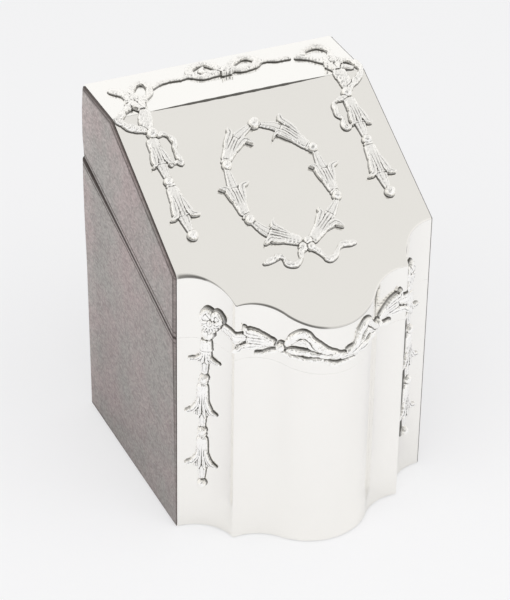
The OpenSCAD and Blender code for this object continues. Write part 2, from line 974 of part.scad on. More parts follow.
module box_front_lining() {
    color(velvet_c)
        intersection() {
            bow_lining();
            below_joint(floor_top);
        }
}
module rear_divider() {
    color(velvet_c)
        divider(y_back - side_in - bay_d - divider_t, rear_divider_h);
}
module front_divider() {
    color(velvet_c)
        divider(y_back - side_in - 2 * (bay_d + divider_t), front_divider_h);
}
module left_hinge_box_leaf() {
    color(brass_c)
        hinge_frame(-1)
            leaf(joint_drop, -1, 0, lid_web_front);
}
module right_hinge_box_leaf() {
    color(brass_c)
        hinge_frame(1)
            leaf(joint_drop, -1, 0, lid_web_front);
}
module left_hinge_pin() {
    color(brass_c)
        hinge_frame(-1)
            along_x(pin_r, hinge_l - knuckle_gap);
}
module right_hinge_pin() {
    color(brass_c)
        hinge_frame(1)
            along_x(pin_r, hinge_l - knuckle_gap);
}
module box_hinge_screws() {
    color(brass_c)
        for (side = [-1, 1])
            hinge_frame(side)
                screw_places()
                    translate([0, 0, -joint_drop])
                        slotted_screw();
}

// Pieces of the lid
module lid_side_board(side) {
    difference() {
        intersection() {
            side_board(side);
            under_roof(roof_in);
        }
        lid_bevel();
    }
}
module lid_left_board() {
    color(wood_c)
        lid_side_board(-1);
}
module lid_right_board() {
    color(wood_c)
        lid_side_board(1);
}
module lid_back_board() {
    color(wood_c)
        difference() {
            intersection() {
                back_board();
                under_roof(roof_in);
            }
            lid_bevel();
            lid_mortise();
        }
}
module lid_top_board() {
    color(wood_c)
        intersection() {
            column(silver_t, skin_in, leather_t);
            top_layer(silver_t, roof_in, y_high);
        }
}
module lid_slope_board() {
    color(wood_c)
        intersection() {
            column(silver_t, skin_in, leather_t);
            slope_layer(silver_t, roof_in);
        }
}
module lid_front_board() {
    color(wood_c)
        intersection() {
            front_board();
            under_roof(roof_in);
        }
}
module lid_leather() {
    color(leather_c)
        difference() {
            intersection() {
                leather_wrap();
                under_roof(silver_t);
            }
            lid_bevel();
            lid_mortise();
        }
}
module lid_top_silver() {
    color(silver_c)
        intersection() {
            column(0, 0, 0);
            top_layer(0, silver_t, y_high);
        }
}
module lid_slope_silver() {
    color(silver_c)
        intersection() {
            column(0, 0, 0);
            slope_layer(0, silver_t);
        }
}
module lid_front_silver() {
    color(silver_c)
        intersection() {
            silver_front();
            under_roof(silver_t);
        }
}
module top_ribbon() {
    color(silver_c)
        ribbon_top();
}
module left_corner_bow() {
    color(silver_c)
        corner_bow(-1);
}
module right_corner_bow() {
    color(silver_c)
        corner_bow(1);
}
module left_pendant() {
    color(silver_c)
        pendant(-1);
}
module right_pendant() {
    color(silver_c)
        pendant(1);
}
module wreath() {
    color(silver_c) {
        oval_wreath();
        ribbon_bow();
    }
}
module left_rosette() {
    color(silver_c)
        rosette(-1);
}
module right_rosette() {
    color(silver_c)
        rosette(1);
}
module front_festoon() {
    color(silver_c)
        festoon();
}
module lid_left_lining() {
    color(velvet_c)
        intersection() {
            side_lining(-1);
            under_roof(roof_lining_in);
        }
}
module lid_right_lining() {
    color(velvet_c)
        intersection() {
            side_lining(1);
            under_roof(roof_lining_in);
        }
}
module lid_back_lining() {
    color(velvet_c)
        intersection() {
            back_lining();
            under_roof(roof_lining_in);
        }
}
module lid_roof_lining() {
    color(velvet_c)
        intersection() {
            column(front_in, wall_in, wall_in);
            union() {
                top_layer(roof_in, roof_lining_in, y_high);
                slope_layer(roof_in, roof_lining_in);
            }
        }
}
module lid_front_lining() {
    color(velvet_c)
        intersection() {
            bow_lining();
            under_roof(roof_lining_in);
        }
}
module left_hinge_lid_leaf() {
    color(brass_c)
        hinge_frame(-1)
            leaf(lid_drop, 1, 1, lid_web_front);
}
module right_hinge_lid_leaf() {
    color(brass_c)
        hinge_frame(1)
            leaf(lid_drop, 1, 1, lid_web_front);
}
module lid_hinge_screws() {
    color(brass_c)
        for (side = [-1, 1])
            hinge_frame(side)
                screw_places()
                    translate([0, 0, -lid_drop])
                        mirror([0, 0, 1])
                            slotted_screw();
}

base_baize();
base_board();
box_left_board();
box_right_board();
box_back_board();
box_front_board();
box_leather();
box_front_silver();
left_front_drop();
right_front_drop();
box_floor_lining();
box_left_lining();
box_right_lining();
box_back_lining();
box_front_lining();
rear_divider();
front_divider();
left_hinge_box_leaf();
right_hinge_box_leaf();
left_hinge_pin();
right_hinge_pin();
box_hinge_screws();
lid_left_board();
lid_right_board();
lid_back_board();
lid_top_board();
lid_slope_board();
lid_front_board();
lid_leather();
lid_top_silver();
lid_slope_silver();
lid_front_silver();
top_ribbon();
left_corner_bow();
right_corner_bow();
left_pendant();
right_pendant();
wreath();
left_rosette();
right_rosette();
front_festoon();
lid_left_lining();
lid_right_lining();
lid_back_lining();
lid_roof_lining();
lid_front_lining();
left_hinge_lid_leaf();
right_hinge_lid_leaf();
lid_hinge_screws();
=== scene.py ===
"""Looks of the playing card box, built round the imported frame.

Lengths are in millimetres and are turned into metres where a mesh is made; only the stage and the
materials are in metres. The front of the box is towards -Y and the sloping lid rises towards +Y.
"""

import json
import math

import bmesh
import bpy
import numpy as np
from mathutils import Matrix, Vector


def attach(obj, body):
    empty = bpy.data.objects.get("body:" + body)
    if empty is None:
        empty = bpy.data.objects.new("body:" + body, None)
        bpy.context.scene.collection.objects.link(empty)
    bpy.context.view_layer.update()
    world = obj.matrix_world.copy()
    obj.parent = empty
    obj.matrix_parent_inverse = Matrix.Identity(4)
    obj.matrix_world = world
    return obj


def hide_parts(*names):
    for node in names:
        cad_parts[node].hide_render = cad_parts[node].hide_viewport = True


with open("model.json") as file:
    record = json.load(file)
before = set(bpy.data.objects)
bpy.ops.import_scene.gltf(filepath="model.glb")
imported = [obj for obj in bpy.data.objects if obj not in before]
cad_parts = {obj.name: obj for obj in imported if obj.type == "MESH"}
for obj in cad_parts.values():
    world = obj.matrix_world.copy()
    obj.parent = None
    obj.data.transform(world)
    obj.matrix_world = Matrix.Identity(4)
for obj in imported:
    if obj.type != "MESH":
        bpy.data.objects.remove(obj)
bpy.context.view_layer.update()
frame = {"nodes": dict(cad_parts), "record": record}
MM = 0.001

# Sizes of the case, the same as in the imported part
HALF_W = 45.0
EDGE_OUT = 1.0
Y_FRONT, Y_BACK = -25.6, 53.0
BACK_H, FRONT_H, TOP_D = 128.4, 99.4, 25.6
JOINT_BACK, JOINT_FRONT, JOINT_GAP = 101.5, 75.8, 0.3
BEVEL_H, BEVEL_D = 2.7, 1.9
BAIZE_T, LEATHER_T, SILVER_T = 0.5, 0.9, 0.6
JOINT_SLOPE = (JOINT_BACK - JOINT_FRONT) / (Y_BACK - Y_FRONT)
ROOF_SLOPE = (BACK_H - FRONT_H) / (Y_BACK - Y_FRONT - TOP_D)
Y_CREASE = Y_BACK - TOP_D

# Arcs of the serpentine front: centre x, centre distance out from the corner line, radius
COVE = (45.0, 14.7, 14.7)
BELLY = (0.0, 5.7, 20.5)
HOLLOW_R = 16.2
CUSP_X = 30.4
ARC_REACH = BELLY[2] + HOLLOW_R


def joint_z(y):
    return JOINT_FRONT + (y - Y_FRONT) * JOINT_SLOPE


def slope_z(y):
    return FRONT_H + (y - Y_FRONT) * ROOF_SLOPE


def roof_z(y):
    return min(BACK_H, slope_z(y))


# ---------- camera
def new_object(name, data):
    o = bpy.data.objects.new(name, data)
    bpy.context.scene.collection.objects.link(o)
    return o


def camera():
    """The photograph's view: solved from the box's corners and edges."""
    azimuth, elevation, roll = (math.radians(a) for a in (-24.87, 33.19, 1.01))
    distance, focal_px, frame_h = 897.6, 2641.8, 600.0
    target = Vector((0.36, 13.7, 55.35))
    back = Vector((
        math.sin(azimuth) * math.cos(elevation),
        -math.cos(azimuth) * math.cos(elevation),
        math.sin(elevation),
    ))
    data = bpy.data.cameras.new("camera")
    data.sensor_width = 36.0
    data.lens = focal_px / frame_h * data.sensor_width
    data.clip_start, data.clip_end = 0.05, 20.0
    cam = new_object("camera", data)
    turn = (-back).to_track_quat("-Z", "Y").to_matrix() @ Matrix.Rotation(roll, 3, "Z")
    cam.matrix_world = Matrix.Translation((target + back * distance) * MM) @ turn.to_4x4()
    bpy.context.scene.camera = cam


# ---------- nodes
def clear_tree(owner):
    """Emptied node tree of a material or world."""
    owner.use_nodes = True
    owner.node_tree.nodes.clear()
    return owner.node_tree


def node(tree, kind, sockets=None, **values):
    """New node. Lower-case keywords are its settings and the others its sockets; sockets holds those
    that go by place or by a name with a space. A node or socket given as a value is linked."""
    n = tree.nodes.new("ShaderNode" + kind)
    for key in [k for k in values if k.islower()]:
        setattr(n, key, values.pop(key))
    for key, value in {**values, **(sockets or {})}.items():
        if isinstance(value, bpy.types.Node):
            value = value.outputs[0]
        if isinstance(value, bpy.types.NodeSocket):
            tree.links.new(value, n.inputs[key])
        else:
            n.inputs[key].default_value = value
    return n


def calc(t, operation, a, b):
    return node(t, "Math", {0: a, 1: b}, operation=operation)


def mixed(t, factor, a, b, data_type="RGBA", **settings):
    n = node(t, "Mix", data_type=data_type, Factor=factor, A=a, B=b, **settings)
    return n.outputs["Result"]


def noise(t, vector, scale, detail, **more):
    return node(t, "TexNoise", Vector=vector, Scale=scale, Detail=detail, **more)


def ramp(t, factor, *stops):
    """Colour ramp through two stops of (place, colour)."""
    n = node(t, "ValToRGB", {0: factor})
    for element, (place, colour) in zip(n.color_ramp.elements, stops):
        element.position, element.color = place, (*colour, 1)
    return n


def scaled(t, value, low, high, to_low, to_high):
    """The range from low to high mapped to another one."""
    ends = {"From Min": low, "From Max": high, "To Min": to_low, "To Max": to_high}
    return node(t, "MapRange", ends, Value=value)


def bumped(t, height, strength, distance, **more):
    return node(t, "Bump", Height=height, Strength=strength, Distance=distance, **more)


def painted(t, name):
    """The value that a mesh carries at its points under this name."""
    return node(t, "Attribute", attribute_name=name).outputs["Fac"]


# ---------- stage
FLOOR_TONE = (0.93, 0.93, 0.937, 1)
FLOOR_SEEN = (0.93, 0.93, 0.935, 1)
FLOOR_SHARE = 0.6  # how much of that paler tone the camera sees over the floor's own
ROOM_TONE = (0.60, 0.60, 0.605, 1)
ROOM_WARMTH = (1.03, 1.02, 1.0, 1)
BACKDROP = (0.95, 0.95, 0.955, 1)
LAMP_POWER, LAMP_SIZE = 10.8, 1.6
LAMP_AIM = Vector((0, 0, 0.06))


def toward(t, direction, stops):
    """World grey by how near a direction is to the given one. Stops are (degrees off it, grey)."""
    view = node(t, "TexCoord").outputs["Generated"]
    dot = node(t, "VectorMath", {0: view, 1: Vector(direction).normalized()}, operation="DOT_PRODUCT")
    grey = node(t, "ValToRGB", {0: dot.outputs["Value"]})
    grey.color_ramp.interpolation = "EASE"
    e = grey.color_ramp.elements
    while len(e) < len(stops):
        e.new(0.5)
    for el, (near, v) in zip(e, sorted((math.cos(math.radians(d)), v) for d, v in stops)):
        el.position, el.color = max(0.0, near), (v, v, v, 1)
    return grey


def lamp(name, place):
    data = bpy.data.lights.new(name, "AREA")
    data.energy, data.size = LAMP_POWER, LAMP_SIZE
    o = new_object(name, data)
    turn = (LAMP_AIM - Vector(place)).to_track_quat("-Z", "Y").to_matrix()
    o.matrix_world = Matrix.Translation(place) @ turn.to_4x4()
    o.visible_glossy = False


def stage():
    """A wide pale floor. Lamps and world are at the level where a colour renders as it is written."""
    bpy.ops.mesh.primitive_plane_add(size=12.0, location=(0, 0, -0.00001))
    floor = bpy.context.object
    floor.name = "floor"
    paper = bpy.data.materials.new("floor_paper")
    t = clear_tree(paper)
    # the camera sees it paler, with the shadow softened, and the box sees it as it is
    seen = node(t, "LightPath").outputs["Is Camera Ray"]
    node(t, "OutputMaterial", {0: node(t, "MixShader", {
        0: calc(t, "MULTIPLY", seen, FLOOR_SHARE),
        1: node(t, "BsdfDiffuse", Color=FLOOR_TONE),
        2: node(t, "Emission", Color=FLOOR_SEEN)})})
    floor.data.materials.append(paper)

    world = bpy.data.worlds.new("studio")
    bpy.context.scene.world = world
    t = clear_tree(world)
    # in reflections: a dark room round the camera, and a ceiling that is greyer than the walls
    room = toward(t, (-0.352, -0.759, 0.547), ((10, 0.40), (22, 0.62), (38, 0.92), (55, 1.0)))
    ceiling = toward(t, (0.25, -0.02, 0.96), ((22, 0.80), (42, 0.93), (60, 1.0)))
    both = mixed(t, 1.0, room, ceiling, blend_type="MULTIPLY")
    warm = mixed(t, 1.0, both, ROOM_WARMTH, blend_type="MULTIPLY")
    path = node(t, "LightPath").outputs
    lit = mixed(t, path["Is Glossy Ray"], ROOM_TONE, warm)
    # behind the object the camera sees plain white
    sky = mixed(t, path["Is Camera Ray"], lit, BACKDROP)
    node(t, "OutputWorld", {0: node(t, "Background", Color=sky)})
    lamp("key", (0.5, -1.0, 1.5))
    lamp("fill", (-1.0, -0.8, 1.2))


bpy.context.scene.view_settings.view_transform = "Standard"
camera()
stage()


# ---------- materials
def new_material(name):
    """New material, its tree and the coordinates of the object."""
    m = bpy.data.materials.new(name)
    t = clear_tree(m)
    return m, t, node(t, "TexCoord").outputs["Object"]


def surface(t, sockets, **values):
    shade = node(t, "BsdfPrincipled", sockets, **values)
    node(t, "OutputMaterial", {0: shade})


def silver_material(name, roughness, wave, tone, wave_scale=38.0, wave_depth=0.0006, carries_tarnish_and_shade=True):
    """Polished silver: faint waves from planishing, fine rubbing marks, darkened where the mesh carries
    tarnish and painted shade.
    """
    m, t, obj = new_material(name)
    tint = noise(t, obj, 60.0, 3.0)
    colour = mixed(t, tint, (*tone, 1), (*(c * 0.98 for c in tone), 1))
    # darkened by the values the mesh carries: tarnish in the castings' hollows, and painted shadow and dark
    # reflection round their feet and under the rolled edge
    if carries_tarnish_and_shade:
        colour = mixed(t, painted(t, "hollow"), colour, (0.10, 0.095, 0.085, 1))
    marks = noise(t, obj, 900.0, 4.0, Roughness=0.7)
    waves = bumped(t, noise(t, obj, wave_scale, 1.0), wave, wave_depth)
    surface(t, {
        "Base Color": colour,
        "Roughness": scaled(t, marks, 0.0, 1.0, roughness * 0.8, roughness * 1.25),
        "Normal": bumped(t, marks, 0.05, 0.00002, Normal=waves),
    }, Metallic=1.0)
    return m


def leather_material():
    """Crushed goatskin, mauve grey with greyer patches, burnished at its edges and tooled lines."""
    m, t, obj = new_material("leather_grained")
    patches = noise(t, obj, 44.0, 4.0, Roughness=0.55)
    tone = ramp(t, patches, (0.36, (0.445, 0.368, 0.358)), (0.64, (0.405, 0.380, 0.358)))
    # wrinkles run along the depth of the box, across the fine grain
    lay = node(t, "Mapping", Vector=obj, Scale=(1.0, 0.62, 1.0))
    warp = noise(t, obj, 260.0, 2.0).outputs["Color"]
    grain = node(t, "TexVoronoi", Vector=mixed(t, 0.0035, lay, warp, "VECTOR"),
                 Scale=1150.0, feature="SMOOTH_F1", Smoothness=0.6)
    crush = noise(t, lay, 560.0, 5.0, Roughness=0.68, Distortion=0.8)
    height = calc(t, "ADD", grain.outputs["Distance"], crush)
    # darker in the wrinkles, with painted shade darker towards the base and a painted highlight paler towards
    # the back
    place = node(t, "SeparateXYZ", Vector=obj).outputs
    for value, *ends in ((height, 0.55, 1.25, 1.16, 0.74), (place["Z"], 0.0, 0.13, 0.74, 1.08),
                         (place["Y"], 0.0430, 0.0455, 1.0, 1.12)):
        factors = {0: tone, "Scale": scaled(t, value, *ends)}
        tone = node(t, "VectorMath", factors, operation="SCALE")
    # crushed most in some places and rubbed smooth in others
    rub = scaled(t, noise(t, lay, 38.0, 2.0), 0.4, 0.62, 0.3, 1.0)
    surface(t, {
        "Base Color": mixed(t, painted(t, "burnish"), tone, (0.045, 0.032, 0.027, 1)),
        "Roughness": scaled(t, height, 0.0, 1.6, 0.40, 0.62),
        "Specular IOR Level": 0.5,
        "Normal": bumped(t, height, rub, 0.00034, invert=True),
    })
    return m


def wood_material():
    m, t, obj = new_material("wood_mahogany")
    stretch = node(t, "Mapping", Vector=obj, Scale=(1.0, 1.0, 0.12))
    rings = noise(t, stretch, 420.0, 6.0, Roughness=0.6, Distortion=0.8)
    surface(t, {
        "Base Color": ramp(t, rings, (0.3, (0.16, 0.075, 0.036)), (0.7, (0.36, 0.19, 0.095))),
        "Normal": bumped(t, rings, 0.25, 0.0001),
    }, Roughness=0.45)
    return m


def velvet_material(name, colour, sheen):
    m, t, obj = new_material(name)
    pile = noise(t, obj, 2600.0, 2.0)
    nap = noise(t, obj, 70.0, 3.0, Distortion=1.2)
    lie = calc(t, "MULTIPLY", calc(t, "ADD", pile, nap), 0.5)
    surface(t, {
        "Base Color": ramp(t, lie, *((at, [c * k for c in colour]) for at, k in ((0.35, 0.62), (0.7, 1.25)))),
        "Normal": bumped(t, pile, 0.6, 0.00012),
        "Sheen Weight": sheen,
        "Sheen Roughness": 0.35,
        "Sheen Tint": (0.9, 0.55, 0.58, 1),
        "Specular IOR Level": 0.1,
    }, Roughness=0.9)
    return m


def brass_material():
    m, t, obj = new_material("brass_worn")
    spots = noise(t, obj, 500.0, 5.0, Roughness=0.65)
    surface(t, {
        "Base Color": ramp(t, spots, (0.3, (0.36, 0.24, 0.10)), (0.62, (0.80, 0.60, 0.30))),
        "Roughness": scaled(t, spots, 0.0, 1.0, 0.45, 0.22),
        "Normal": bumped(t, spots, 0.2, 0.00004),
    }, Metallic=1.0)
    return m


PLATE = silver_material("silver_plate", roughness=0.10, wave=0.10, tone=(0.96, 0.946, 0.912))
TOP = silver_material("silver_top", roughness=0.10, wave=0.10, tone=(0.95, 0.946, 0.932))
# the castings' silver is toned brighter than the plates' as a painted highlight, so their lit tops stand out
CAST = silver_material("silver_cast", roughness=0.17, wave=0.5, tone=(1.0, 0.99, 0.968),
                       wave_scale=1300.0, wave_depth=0.00012)
# dark silver for the painted shade and dark reflection in the crease
CREASE_SHADE = silver_material("silver_crease_shade", roughness=0.42, wave=0.0, tone=(0.15, 0.145, 0.135),
                          carries_tarnish_and_shade=False)
LEATHER = leather_material()
SLOT_MATERIALS = {
    "silver": PLATE,
    "leather": LEATHER,
    "wood": wood_material(),
    "velvet": velvet_material("velvet_crimson", (0.19, 0.022, 0.036), sheen=0.6),
    "brass": brass_material(),
    "baize": velvet_material("baize_green", (0.05, 0.085, 0.058), sheen=0.2),
}

for part in frame["record"]["subparts"]:
    mesh = frame["nodes"][part["node"]].data
    mesh.materials.clear()
    mesh.materials.append(SLOT_MATERIALS[part["material_slot"]])


# ---------- mesh helpers
def put(name, mesh, body, material, nodes):
    """A finished mesh as a smooth piece of one material that rides on a body."""
    mesh.polygons.foreach_set("use_smooth", [True] * len(mesh.polygons))
    mesh.materials.append(material)
    o = new_object(name, mesh)
    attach(o, body)
    if nodes:
        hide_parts(*nodes)
    return o


def add_piece(name, verts, faces, body, material, nodes=()):
    """Piece from points in millimetres, with its faces turned outwards."""
    mesh = bpy.data.meshes.new(name)
    mesh.from_pydata((np.asarray(verts, float) * MM).tolist(), [], [list(f) for f in faces])
    mesh.validate()
    mesh.update()
    o = put(name, mesh, body, material, nodes)
    bm = bmesh.new()
    bm.from_mesh(mesh)
    bmesh.ops.recalc_face_normals(bm, faces=bm.faces)
    bm.to_mesh(mesh)
    bm.free()
    return o


def paint(mesh, name, values):
    """Values at the mesh's points, for the material to read under this name."""
    mesh.attributes.new(name, "FLOAT", "POINT").data.foreach_set("value", values)


def bevel(o, width):
    b = o.modifiers.new("edge", "BEVEL")
    b.width, b.segments = width * MM, 2
    b.limit_method, b.angle_limit = "ANGLE", math.radians(40)
    b.harden_normals = True


def tube(count, sides, start=0):
    """Faces of a closed tube from rings of points that are numbered from start."""
    faces = []
    for i in range(count - 1):
        for j in range(sides):
            a, b = start + i * sides + j, start + i * sides + (j + 1) % sides
            faces.append((a, b, b + sides, a + sides))
    last = start + (count - 1) * sides
    return faces + [[start + j for j in range(sides)][::-1], [last + j for j in range(sides)]]


# ---------- front outline
def circle_meet(a, ra, b, rb, near):
    """The point where two circles meet that is nearer to a given point."""
    d = np.linalg.norm(b - a)
    along = (ra**2 - rb**2 + d**2) / (2 * d)
    aside = math.sqrt(max(0.0, ra**2 - along**2))
    u = (b - a) / d
    side = np.array([-u[1], u[0]])
    both = [a + along * u + s * aside * side for s in (-1, 1)]
    return min(both, key=lambda p: np.linalg.norm(p - near))


# The hollow runs from the cusp to the belly, whose circle it touches
CUSP = np.array([CUSP_X, COVE[1] - math.sqrt(COVE[2] ** 2 - (HALF_W - CUSP_X) ** 2)])
COVE_C, BELLY_C = np.array(COVE[:2]), np.array(BELLY[:2])
HOLLOW_C = circle_meet(BELLY_C, ARC_REACH - 0.02, CUSP, HOLLOW_R, near=(28.3, 29.0))
FILLET = 0.6  # radius that rounds the cusp


def half_outline():
    """Right half of the front, corner to middle: points and outward normals as [x, out]."""
    tip = circle_meet(COVE_C, COVE[2] + FILLET, HOLLOW_C, HOLLOW_R + FILLET, CUSP)
    pts, nrm = [], []

    def arc(c, r, a0, a1, steps, facing):
        """Facing is 1 where the surface looks away from the centre and -1 where it looks towards it."""
        for i in range(1 if pts else 0, steps + 1):
            a = a0 + (a1 - a0) * i / steps
            u = np.array([math.cos(a), math.sin(a)])
            pts.append(c + r * u)
            nrm.append(facing * u)

    def angle(c, p):
        return math.atan2(p[1] - c[1], p[0] - c[0])

    def below(a):
        return a - 2 * math.pi if a > 0 else a

    arc(COVE_C, COVE[2], -math.pi / 2, below(angle(COVE_C, tip)), 40, -1)
    arc(tip, FILLET, angle(tip, COVE_C), angle(tip, HOLLOW_C), 8, 1)
    arc(HOLLOW_C, HOLLOW_R, below(angle(HOLLOW_C, tip)), below(angle(HOLLOW_C, BELLY_C)), 30, -1)
    arc(BELLY_C, BELLY[2], angle(BELLY_C, HOLLOW_C), math.pi / 2, 34, 1)
    return np.array(pts), np.array(nrm)


def outline():
    """Whole front from the right corner to the left one, as x, y and the normals there."""
    whole = [np.vstack([q, (q[:-1] * (-1.0, 1.0))[::-1]]) for q in half_outline()]
    return whole[0] * (1, -1) + (0, Y_FRONT), whole[1] * (1, -1)


OUT_XY, OUT_N = outline()


# ---------- silver plates
JOINT_LAP = 0.14  # how far each front plate reaches into the saw cut
CREASE_HALF_GAP = 0.1  # between the crease and the edge of each plate
ROLL_STEPS = 6  # faces round the rolled edge


def edge_round():
    """Radius of the rolled edge between slope and lip along the outline, tight at the cusps."""
    left = ((-45.0, 1.15), (-41.0, 1.0), (-36.0, 0.6), (-31.5, 0.28), (-30.0, 0.28), (-27.0, 0.42),
            (-20.0, 0.62))
    right = ((20.0, 0.55), (27.0, 0.42), (30.0, 0.28), (31.5, 0.28), (36.0, 0.5), (41.0, 0.6), (45.0, 0.6))
    return np.interp(OUT_XY[:, 0], *zip(*left, *right))


EDGE_R = edge_round()


def front_plate(name, node_name, body, z_low, z_high):
    """Bent sheet along the front. z_low and z_high give the height of its edges at a point (y, index)."""
    n = len(OUT_XY)
    inner = OUT_XY - OUT_N * SILVER_T
    inner[0] = (HALF_W, OUT_XY[0][1] + SILVER_T)
    inner[-1] = (-HALF_W, OUT_XY[-1][1] + SILVER_T)
    verts = []
    for base, shares in ((OUT_XY, (0.0, 0.5, 1.0)), (inner, (1.0, 0.0))):
        for s in shares:
            for i, (x, y) in enumerate(base):
                lo, hi = z_low(y, i), z_high(y, i)
                verts.append((x, y, lo + (hi - lo) * s))
    starts = [r * n for r in range(len(verts) // n)]
    faces = []
    for a, b in zip(starts, starts[1:] + starts[:1]):
        faces += [(a + i, a + i + 1, b + i + 1, b + i) for i in range(n - 1)]
    faces += [starts, [a + n - 1 for a in starts][::-1]]
    bevel(add_piece(name, verts, faces, body, PLATE, [node_name]), 0.025)


def slope_plate():
    """The sloping plate, with its serpentine edge rolled over onto the lip."""
    n = len(OUT_XY)
    r = EDGE_R[:, None]
    loops = []
    for j in range(ROLL_STEPS + 1):
        phi = math.pi / 2 * j / ROLL_STEPS
        loops.append((OUT_XY - OUT_N * r * (1 - math.cos(phi)), EDGE_R * (1 - math.sin(phi))))
    # one more loop keeps the flat field apart from the roll
    loops.append((OUT_XY - OUT_N * (r + 0.05), np.zeros(n)))
    verts = [(max(-HALF_W, min(HALF_W, x)), y, slope_z(y) - drop)
             for loop in loops for (x, y), drop in zip(*loop)]
    faces = []
    for start in range(0, len(verts) - n, n):
        faces += [(a, a + 1, a + n + 1, a + n) for a in range(start, start + n - 1)]
    last, top = len(verts) - n, len(verts)
    # top corners by the crease, then the flat field as one face
    y_top = Y_CREASE - CREASE_HALF_GAP
    verts += [(-HALF_W, y_top, slope_z(y_top)), (HALF_W, y_top, slope_z(y_top))]
    faces.append([last + i for i in range(n)] + [top, top + 1])
    # underside
    low = len(verts)
    verts += [(x, y, slope_z(y) - r - 0.001) for (x, y), r in zip(OUT_XY, EDGE_R)]
    verts += [(side * HALF_W, y_top, slope_z(y_top) - SILVER_T) for side in (-1, 1)]
    faces += [(low + i, low + i + 1, i + 1, i) for i in range(n - 1)]
    faces.append([low + i for i in range(n + 2)][::-1])
    faces.append((top, low + n, low + n + 1, top + 1))
    faces.append([low + n - 1] + list(range(n - 1, top, n)) + [top, low + n])
    faces.append([low] + list(range(0, top, n)) + [top + 1, low + n + 1])
    o = add_piece("lid_slope_plate", verts, faces, "lid", PLATE, ["lid_slope_silver"])
    # painted shade and dark reflection under the rolled edge, heaviest on the left
    dark = np.zeros(len(verts))
    at = (-45.0, -44.2, -36.6, -35.6, -31.0, -30.0, -6.0, -3.5, 12.0, 14.0, 45.0)
    amount = (0.3, 0.85, 0.8, 0.35, 0.35, 0.85, 0.8, 0.4, 0.35, 0.12, 0.12)
    for j, w in enumerate((0.8, 1.0, 1.0, 0.8, 0.35)):
        dark[j * n:(j + 1) * n] = w * np.interp(OUT_XY[:, 0], at, amount)
    paint(o.data, "hollow", dark)
    bevel(o, 0.16)


def top_plate():
    ys, zs = (Y_CREASE + CREASE_HALF_GAP, Y_BACK), (BACK_H - SILVER_T, BACK_H)
    verts = [(x, y, z) for z in zs for y in ys for x in (-HALF_W, HALF_W)]
    faces = [(0, 1, 3, 2), (4, 5, 7, 6), (0, 1, 5, 4), (2, 3, 7, 6), (0, 2, 6, 4), (1, 3, 7, 5)]
    bevel(add_piece("lid_top_plate", verts, faces, "lid", TOP, ["lid_top_silver"]), 0.18)


def crease_shade_line():
    """Dark tube laid in the fold where the sloping plate meets the flat top: painted shade and dark
    reflection in the crease.
    """
    count, sides = 40, 7
    verts = []
    for i in range(count + 1):
        x = -30.7 + 61.6 * i / count
        r = 0.56 * min(1.0, 0.25 + 3.0 * min(i, count - i) / count) * (1 + 0.12 * math.sin(i * 1.7))
        for a in (2 * math.pi * j / sides for j in range(sides)):
            verts.append((x, Y_CREASE + r * math.cos(a), BACK_H - 0.075 + 0.55 * r * math.sin(a)))
    add_piece("lid_crease_shade_line", verts, tube(count + 1, sides), "lid", CREASE_SHADE)


front_plate("case_front_plate", "box_front_silver", "box",
            lambda y, i: BAIZE_T, lambda y, i: joint_z(y) + JOINT_LAP)
front_plate("lid_front_plate", "lid_front_silver", "lid",
            lambda y, i: joint_z(y) + JOINT_GAP - JOINT_LAP, lambda y, i: slope_z(y) - EDGE_R[i])
crease_shade_line()
slope_plate()
top_plate()


# ---------- leather covering
ROOF_A = math.atan(ROOF_SLOPE)
ROOF_COS, ROOF_SIN = math.cos(ROOF_A), math.sin(ROOF_A)
JOINT_COS = math.cos(math.atan(JOINT_SLOPE))
CORNER_R = 1.6
FRONT_SET = 0.14  # the leather begins this far behind the corner of the silver
SIDE_D = Y_BACK - CORNER_R - Y_FRONT  # depth of the side up to the round corner
INNER = HALF_W + EDGE_OUT - LEATHER_T
TURN_STEPS, BACK_STEPS, RISE_STEPS = 8, 44, 31
LINE_IN, LINE_HALF, LINE_DEEP = 1.7, 0.38, 0.16  # the tooled line: its distance from the edge and its size
FLUSH = 0.13  # how far the bevelled edges stand out beside the silver
ROOF_DROP, INNER_DROP = 0.08, 0.02  # the lid's leather ends below the roof, its inner edge inside the outer
BURNT, INNER_DARK = 0.95, 0.8  # how dark the burnished edges and the inner edge are
FAR = 99.0  # distance from the front edge where it has no effect


def share(x):
    return min(1.0, max(0.0, x))


def spread(total, low, high, step):
    """Stations from 0 to total: the given ones near each end and even steps between them."""
    a, b = low[-1], total - high[-1]
    count = max(1, int(math.ceil((b - a) / step)))
    return low + [a + (b - a) * i / count for i in range(1, count)] + [total - d for d in high[::-1]]


def lid_low(y):
    """Lower edge of the lid's leather, which rises over the bevel at the back."""
    z = joint_z(y) + JOINT_GAP
    low_y = Y_BACK - BEVEL_D
    if y > low_y:
        start = joint_z(low_y) + JOINT_GAP
        z = max(z, start + (JOINT_BACK + BEVEL_H - start) * (y - low_y) / BEVEL_D)
    return z


def side_out(body, y, z):
    """How far the leather stands out beside the silver: it thins towards the base and swells a little
    at the back of the joint, where the case has been handled most."""
    back = share((y - 8.0) / 40.0) ** 1.5
    if body == "lid":
        return 1.03 + 0.42 * back * float(np.interp(z, (101, 104, 110, 120, 128), (0.0, 0.2, 1.0, 0.9, -0.1)))
    swell = float(np.interp(z, (0, 40, 60, 76, 92, 101), (-0.16, 0.0, 0.1, 0.6, 1.0, 1.0)))
    return float(np.interp(z, (0, 12, 48, 76), (0.34, 0.46, 0.78, 1.03))) + 0.55 * back * swell


def worn_corner(x, y, z):
    """The lowest corners at the back are rubbed round."""
    r = float(np.interp(abs(x), (40, 44.5), (0.3, 1.9)))
    u, w = (y - Y_BACK) / r + 1, (BAIZE_T - z) / r + 1
    if u <= 0 or w <= 0:
        return x, y, z
    k = max(u, w) / math.hypot(u, w)
    return x, Y_BACK + r * (k * u - 1), BAIZE_T - r * (k * w - 1)


